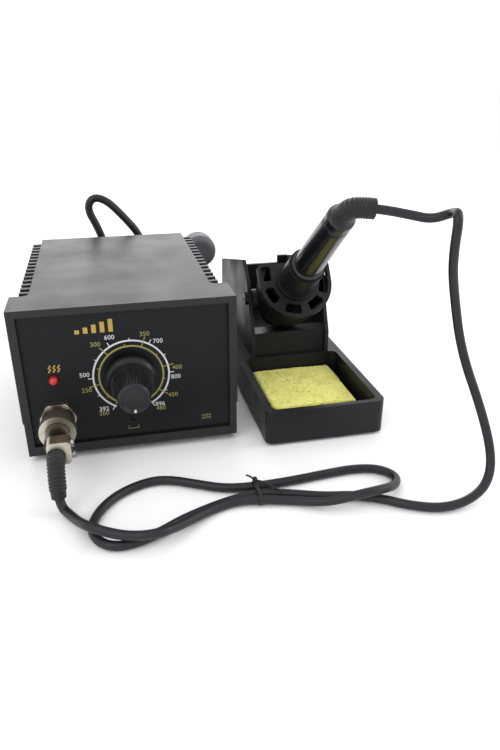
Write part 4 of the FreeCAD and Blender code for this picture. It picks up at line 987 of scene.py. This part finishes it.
# ------------------------------------------------------------------ iron
@dataclass
class Iron:
    """The pencil iron, on one raked axis."""

    collar_start: float = 29.8
    grip_start: float = 33.0
    grip_end: float = 90.5
    nose_r: float = 8.8
    tail_r: float = 7.6

    def build(self) -> None:
        """Make the iron's pieces."""
        self.handle()
        self.strip()
        for node, name, coat, slot, edge, segments in (
                ("handle_nose", "nose_bush", HOLDER_RESIN, "stand_plastic", 0.3, 2),
                ("handle_cap", "tail_ring", GRIP_GLOSS, "gloss_black", 0.5, 3),
                ("sleeve_nut", "sleeve_collar", NICKEL, "nickel", 0.3, 2),
                ("heater_sleeve", "heater_tube", HOT_STEEL, "steel", 0.1, 2),
                ("soldering_tip", "iron_tip", TIP_PLATE, "tip_copper", 0.1, 2)):
            eased(node, name, coat, "iron", edge, segments)
        dress_node("heating_element", CERAMIC)
        line = spline_points([FRAME.at(p) for p in IRON_RELIEF], 40)
        relief = sleeve("iron_strain_relief", line, self.relief_radius, 32, self.relief_ribs)
        finish(relief, SOFT_RUBBER, "iron", ["handle_relief"])

    def axis_point(self, distance: float) -> Vector:
        """A point on the iron's axis, by its distance from the holder plate."""
        a = math.radians(RAKE)
        x, y, z = HOLDER
        return FRAME.at((x, y - distance * math.cos(a), z + distance * math.sin(a)))

    def axis(self) -> Vector:
        """The direction from the tip to the tail."""
        a = math.radians(RAKE)
        return Vector((0, -math.cos(a), math.sin(a)))

    def radius_at(self, distance: float) -> float:
        """The handle's radius at a distance along its axis."""
        share = (distance - self.grip_start) / (self.grip_end - self.grip_start)
        fall = self.nose_r - 0.2 - self.tail_r
        return self.nose_r - 0.2 * min(share / 0.4, 1.0) - fall * max(share - 0.35, 0) / 0.65

    def handle(self) -> None:
        """Turn the handle with its collar, finger ring and long taper."""
        start, steps = self.collar_start, 12
        stations = [(self.nose_r + 0.7, 0.0), (self.nose_r + 1.2, 0.5), (self.nose_r + 1.2, 2.2),
                    (self.nose_r + 0.5, 2.9), (self.nose_r - 0.1, 3.4)]
        for k in range(steps + 1):
            distance = (self.grip_start + 1.0
                        + (self.grip_end - self.grip_start - 2.0) * k / steps)
            stations.append((self.radius_at(distance), distance - start))
        stations.append((self.tail_r - 0.5, self.grip_end - start))
        piece = turned("handle_grip", self.axis_point(start), self.axis(), stations, 72)
        smooth(piece, 40.0)
        finish(piece, GRIP_GLOSS, "iron", ["handle"])

    def strip(self) -> None:
        """Lay the olive film along the handle, a curved patch just proud of it."""
        rows, columns = 14, 10
        begin, end, half_turn, facing = 56.0, 85.0, 17.0, 55.0
        proud, thickness, round_from, rounding = 0.06, 0.12, 0.85, 0.15
        deselect()
        bpy.ops.mesh.primitive_grid_add(x_subdivisions=columns, y_subdivisions=rows, size=2.0)
        piece = newest("handle_strip")
        a = math.radians(RAKE)
        up = Vector((0, math.sin(a), math.cos(a)))
        right = Vector((1, 0, 0))
        for vertex in piece.data.vertices:
            along = begin + (vertex.co.y + 1) / 2 * (end - begin)
            pinch = 1.0 - 0.85 * (max(abs(vertex.co.y) - round_from, 0) / rounding) ** 2
            turn = math.radians(facing + vertex.co.x * half_turn * pinch)
            r = (self.radius_at(along) + proud) * MM
            out = (-up) * -math.cos(turn) + right * math.sin(turn)
            vertex.co = self.axis_point(along) + out * r
        film = piece.modifiers.new("film", "SOLIDIFY")
        film.thickness = thickness * MM
        apply_modifiers(outward(piece))
        smooth(piece, 60.0)
        finish(piece, OLIVE_FILM, "iron")

    @staticmethod
    def relief_radius(share: float) -> float:
        """Radius of the relief: full at the ring, waisted, and a collar at its end."""
        if share > 0.84:
            return 5.2
        return 5.0 + 1.6 * max(0.0, 1.0 - share / 0.3) ** 1.5

    @staticmethod
    def relief_ribs(share: float) -> float:
        """Fine ribs over the last half of the relief."""
        if share < 0.25 or share > 0.84:
            return 0.0
        return 0.35 * (0.5 - 0.5 * math.cos(2 * math.pi * 15 * share))


# ------------------------------------------------------------------ leads
CORD_Z, TIE_Z, OVER_Z = 2.4, 3.2, 9.8
MAINS_Z = 2.95
PLUG_RELIEF = [(-40.8, -29.8, 25.5), (-40.8, -35.5, 25.4), (-40.9, -42.5, 25.0),
               (-41.1, -47.3, 18.5), (-41.2, -48.5, 8.5)]
IRON_RELIEF = [
    (111.25, -17.53, 133.93), (111.25, -23.3, 138.27), (116.2, -27.6, 139.8), (123.4, -28.6, 138.9),
]
IRON_LEAD = [
    (-41.2, -48.5, 8.5), (-40.4, -50.5, 3.6), (-37.2, -54.6, CORD_Z), (-32.5, -64.7, 4.6),
    (-27.1, -75.9, 9.0), (-20.5, -80.3, 8.6), (-13.0, -83.5, 7.6), (-6.4, -86.5, 8.2),
    (0.3, -88.4, 9.0), (7.7, -87.2, 9.0), (15.4, -80.1, 5.6), (29.3, -69.1, 2.8),
    (44.6, -63.3, CORD_Z), (57.0, -65.5, TIE_Z), (73.0, -69.0, CORD_Z), (90.0, -77.0, 4.0),
    (105.0, -81.5, OVER_Z), (118.0, -80.0, OVER_Z), (129.0, -71.5, 4.6), (134.5, -61.0, CORD_Z),
    (128.0, -52.0, CORD_Z), (115.5, -49.0, CORD_Z), (100.0, -50.0, CORD_Z), (80.0, -52.3, CORD_Z),
    (58.5, -54.3, TIE_Z), (42.1, -51.4, CORD_Z), (29.6, -44.8, CORD_Z), (14.9, -36.8, CORD_Z),
    (3.4, -36.0, CORD_Z), (-10.5, -42.6, CORD_Z), (-19.3, -51.5, CORD_Z), (-24.3, -60.8, CORD_Z),
    (-26.2, -68.7, CORD_Z), (-24.5, -76.9, CORD_Z), (-19.8, -82.7, CORD_Z),
    (-14.0, -85.0, CORD_Z), (-7.6, -84.4, CORD_Z), (-0.5, -82.1, CORD_Z), (7.5, -78.0, CORD_Z),
    (16.3, -72.6, CORD_Z), (25.9, -68.2, CORD_Z), (39.9, -62.9, CORD_Z), (57.5, -59.9, TIE_Z),
    (73.0, -63.0, CORD_Z), (90.0, -69.5, CORD_Z), (106.0, -72.0, CORD_Z), (118.5, -78.0, CORD_Z),
    (130.0, -86.5, CORD_Z), (145.0, -92.5, CORD_Z), (160.0, -91.5, 4.0), (172.5, -86.5, 9.0),
    (177.0, -79.5, 21.0), (173.0, -69.8, 43.0), (165.8, -54.4, 70.5), (162.3, -52.6, 87.0),
]
IRON_LEAD_END = [
    (162.3, -52.6, 87.0), (158.4, -50.6, 105.3), (154.2, -54.5, 121.0), (153.8, -55.8, 140.2),
    (157.5, -44.5, 139.0), (150.1, -38.0, 134.4), (141.5, -32.2, 135.8), (129.8, -29.5, 138.1),
    (123.4, -28.6, 138.9),
]
MAINS_LEAD = [
    (-34.0, 183.0, 22.0), (-34.5, 197.0, 17.0), (-30.5, 209.0, 7.0), (-19.0, 216.0, MAINS_Z),
    (-4.0, 213.5, MAINS_Z), (7.0, 202.0, MAINS_Z), (13.0, 186.0, 6.5),
]
MAINS_LOOP = [
    (23.0, 176.0, 72.0), (20.5, 176.0, 86.0), (8.5, 176.0, 101.0), (-2.0, 176.0, 112.5),
    (-12.0, 176.0, 115.5), (-17.0, 176.0, 107.0), (-10.0, 176.0, 92.0), (-6.0, 176.0, 77.0),
]
MAINS_TAIL = [(29.5, 174.0, 52.0), (37.5, 173.5, 60.5), (46.5, 173.0, 68.0)]


@dataclass
class Leads:
    """The iron's lead, its twist tie, and the mains lead with its hank and plug."""

    cord_d: float = 4.7
    mains_d: float = 5.8
    hank_low: tuple[float, float] = (22.0, 20.5)
    hank_high: tuple[float, float] = (8.0, 64.0)
    hank_y: float = 176.0
    nests: tuple[tuple[float, float], ...] = (
        (17.3, 5.9), (11.4, 5.9), (17.3, 0.0), (11.4, 0.0), (17.3, -5.9))

    def build(self) -> None:
        """Make every lead."""
        self.iron_lead()
        self.twist_tie()
        self.mains()

    def iron_lead(self) -> None:
        """The iron's lead as two tubes that meet where it hangs."""
        lower = spline_points([FRAME.at(p) for p in IRON_LEAD])
        upper = spline_points([FRAME.at(p) for p in IRON_LEAD_END], 12)
        upper.reverse()
        for name, line, stands_for, bodies, ends, leaves in (
                ("iron_lead_lower", lower, "iron_cord", ("set", "holder"),
                 (IRON_LEAD[-3], IRON_LEAD[-1]), IRON_LEAD[0]),
                ("iron_lead_upper", upper, "iron_cord_end", ("iron", "holder"),
                 (IRON_LEAD_END[-2], IRON_LEAD_END[0]), IRON_LEAD_END[-1])):
            piece = sleeve(name, line, lambda s: self.cord_d / 2, 20)
            piece.data.materials.append(CORD_SHEATH.material())
            settle(piece)
            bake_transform(piece)
            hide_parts(stands_for)

    def twist_tie(self) -> None:
        """A flat tie round the three strands, twisted to a knot with two loose ends."""
        low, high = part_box("twist_tie")
        x = (low.x + high.x) / 2
        y0, y1, z = -65.5, -54.3, TIE_Z
        r, wire, steps = 2.9, 0.5, 24
        loop = []
        for k in range(steps):
            a = 2 * math.pi * k / steps
            y = (y1 if math.cos(a) > 0 else y0) + r * math.cos(a)
            loop.append(Vector((x, FRAME.at((0, y, 0)).y, (z + r * math.sin(a)) * MM)))
        loop.append(loop[0].copy())
        band = sleeve("tie_band", loop, lambda s: 0.42, 8)
        band.data.transform(Matrix.Translation((x, 0, 0)) @ Matrix.Diagonal((2.6, 1, 1, 1))
                            @ Matrix.Translation((-x, 0, 0)))
        knot_at = FRAME.at((57.5, y1 + 0.2, z + r + 1.0))
        parts = [band]
        coil = []
        for k in range(40):
            a = 2 * math.pi * k / 9
            coil.append(knot_at + Vector((0.95 * math.cos(a), 0.95 * math.sin(a),
                                          -1.1 + 2.2 * k / 39)) * MM)
        parts.append(sleeve("tie_knot", coil, lambda s: wire, 8))
        for ends in (((0, 0, 0), (3.2, -2.4, 0.6), (8.0, -6.5, -0.8), (12.5, -10.0, -2.6)),
                     ((0, 0, 0), (-1.4, 1.4, 1.0), (-2.8, 3.2, 1.2), (-3.4, 4.6, 0.4))):
            line = spline_points([knot_at + Vector(p) * MM for p in ends], 10)
            parts.append(sleeve("tie_tail", line, lambda s: wire, 8))
        piece = smooth(joined(parts, "twist_tie_wire"), 60.0)
        finish(piece, SOFT_RUBBER, "set", ["twist_tie"])

    def hank_point(self, degrees: float, half: float, y: float) -> Point:
        """A point on one turn of the hank: a stadium about its long axis."""
        low, high = Vector(self.hank_low), Vector(self.hank_high)
        run = high - low
        lean = math.atan2(run.y, run.x) - math.pi / 2
        a = math.radians(degrees)
        middle = high if math.sin(a) > 0 else low
        across, along = half * math.cos(a), half * math.sin(a)
        return (middle.x + across * math.cos(lean) - along * math.sin(lean), self.hank_y + y,
                middle.y + across * math.sin(lean) + along * math.cos(lean))

    def mains(self) -> None:
        """One spline from the gland, round the hank, over its high loop and to the plug."""
        route = list(MAINS_LEAD)
        stations = (-75, -45, -15, 15, 45, 75, 105, 135, 165, 195, 225, 255)
        for turn, (half, y) in enumerate(self.nests):
            ahead = self.nests[min(turn + 1, len(self.nests) - 1)]
            for k, degrees in enumerate(stations):
                share = max(0.0, (k - 8) / 4)
                route.append(self.hank_point(degrees, half + (ahead[0] - half) * share,
                                             y + (ahead[1] - y) * share))
        route += [self.hank_point(a, 15.0, -5.0) for a in stations[:3]]
        route += MAINS_LOOP
        route += [self.hank_point(a, 15.5, -2.5) for a in (195, 225, 255, 285, 315)]
        route += MAINS_TAIL
        piece = nurbs("mains_lead", [FRAME.at(p) for p in route], self.mains_d / 2 * MM, 6)
        piece.data.materials.append(CORD_SHEATH.material())
        line = spline_points([FRAME.at(p) for p in route], 6)
        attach(piece, "set")
        for node in ("mains_cord", "mains_hank", "mains_loop", "mains_tail"):
            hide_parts(node)
        plug = eased("mains_plug", "plug_body", PLUG_PVC, "set", 0.6)
        eased("plug_pins", "plug_pin_pair", NICKEL, "set", 0.4)
        tie = self.hank_tie()

    def hank_tie(self) -> bpy.types.Object:
        """The wire tie round the hank's waist."""
        low, high = Vector(self.hank_low), Vector(self.hank_high)
        middle = (low + high) / 2
        run = (high - low).normalized()
        across = Vector((run.y, -run.x))
        half_flat, bend, deep, steps = 12.0, 9.0, 9.3, 32
        line = []
        for k in range(steps + 1):
            a = 2 * math.pi * k / steps
            u = (1 if math.cos(a) > 0 else -1) * half_flat + bend * math.cos(a)
            y = self.hank_y + deep * math.sin(a)
            line.append(FRAME.at((middle.x + across.x * u, y, middle.y + across.y * u)))
        piece = sleeve("hank_tie", line, lambda s: 0.55, 10)
        return finish(piece, SOFT_RUBBER, "set")


def main() -> None:
    """Build the studio, then each sub-assembly."""
    logging.basicConfig(level=logging.INFO, format="%(name)s: %(message)s")
    Studio().build()
    Leads().build()
    ControlUnit().build()
    Stand().build()
    Iron().build()


if __name__ == "__main__":
    main()
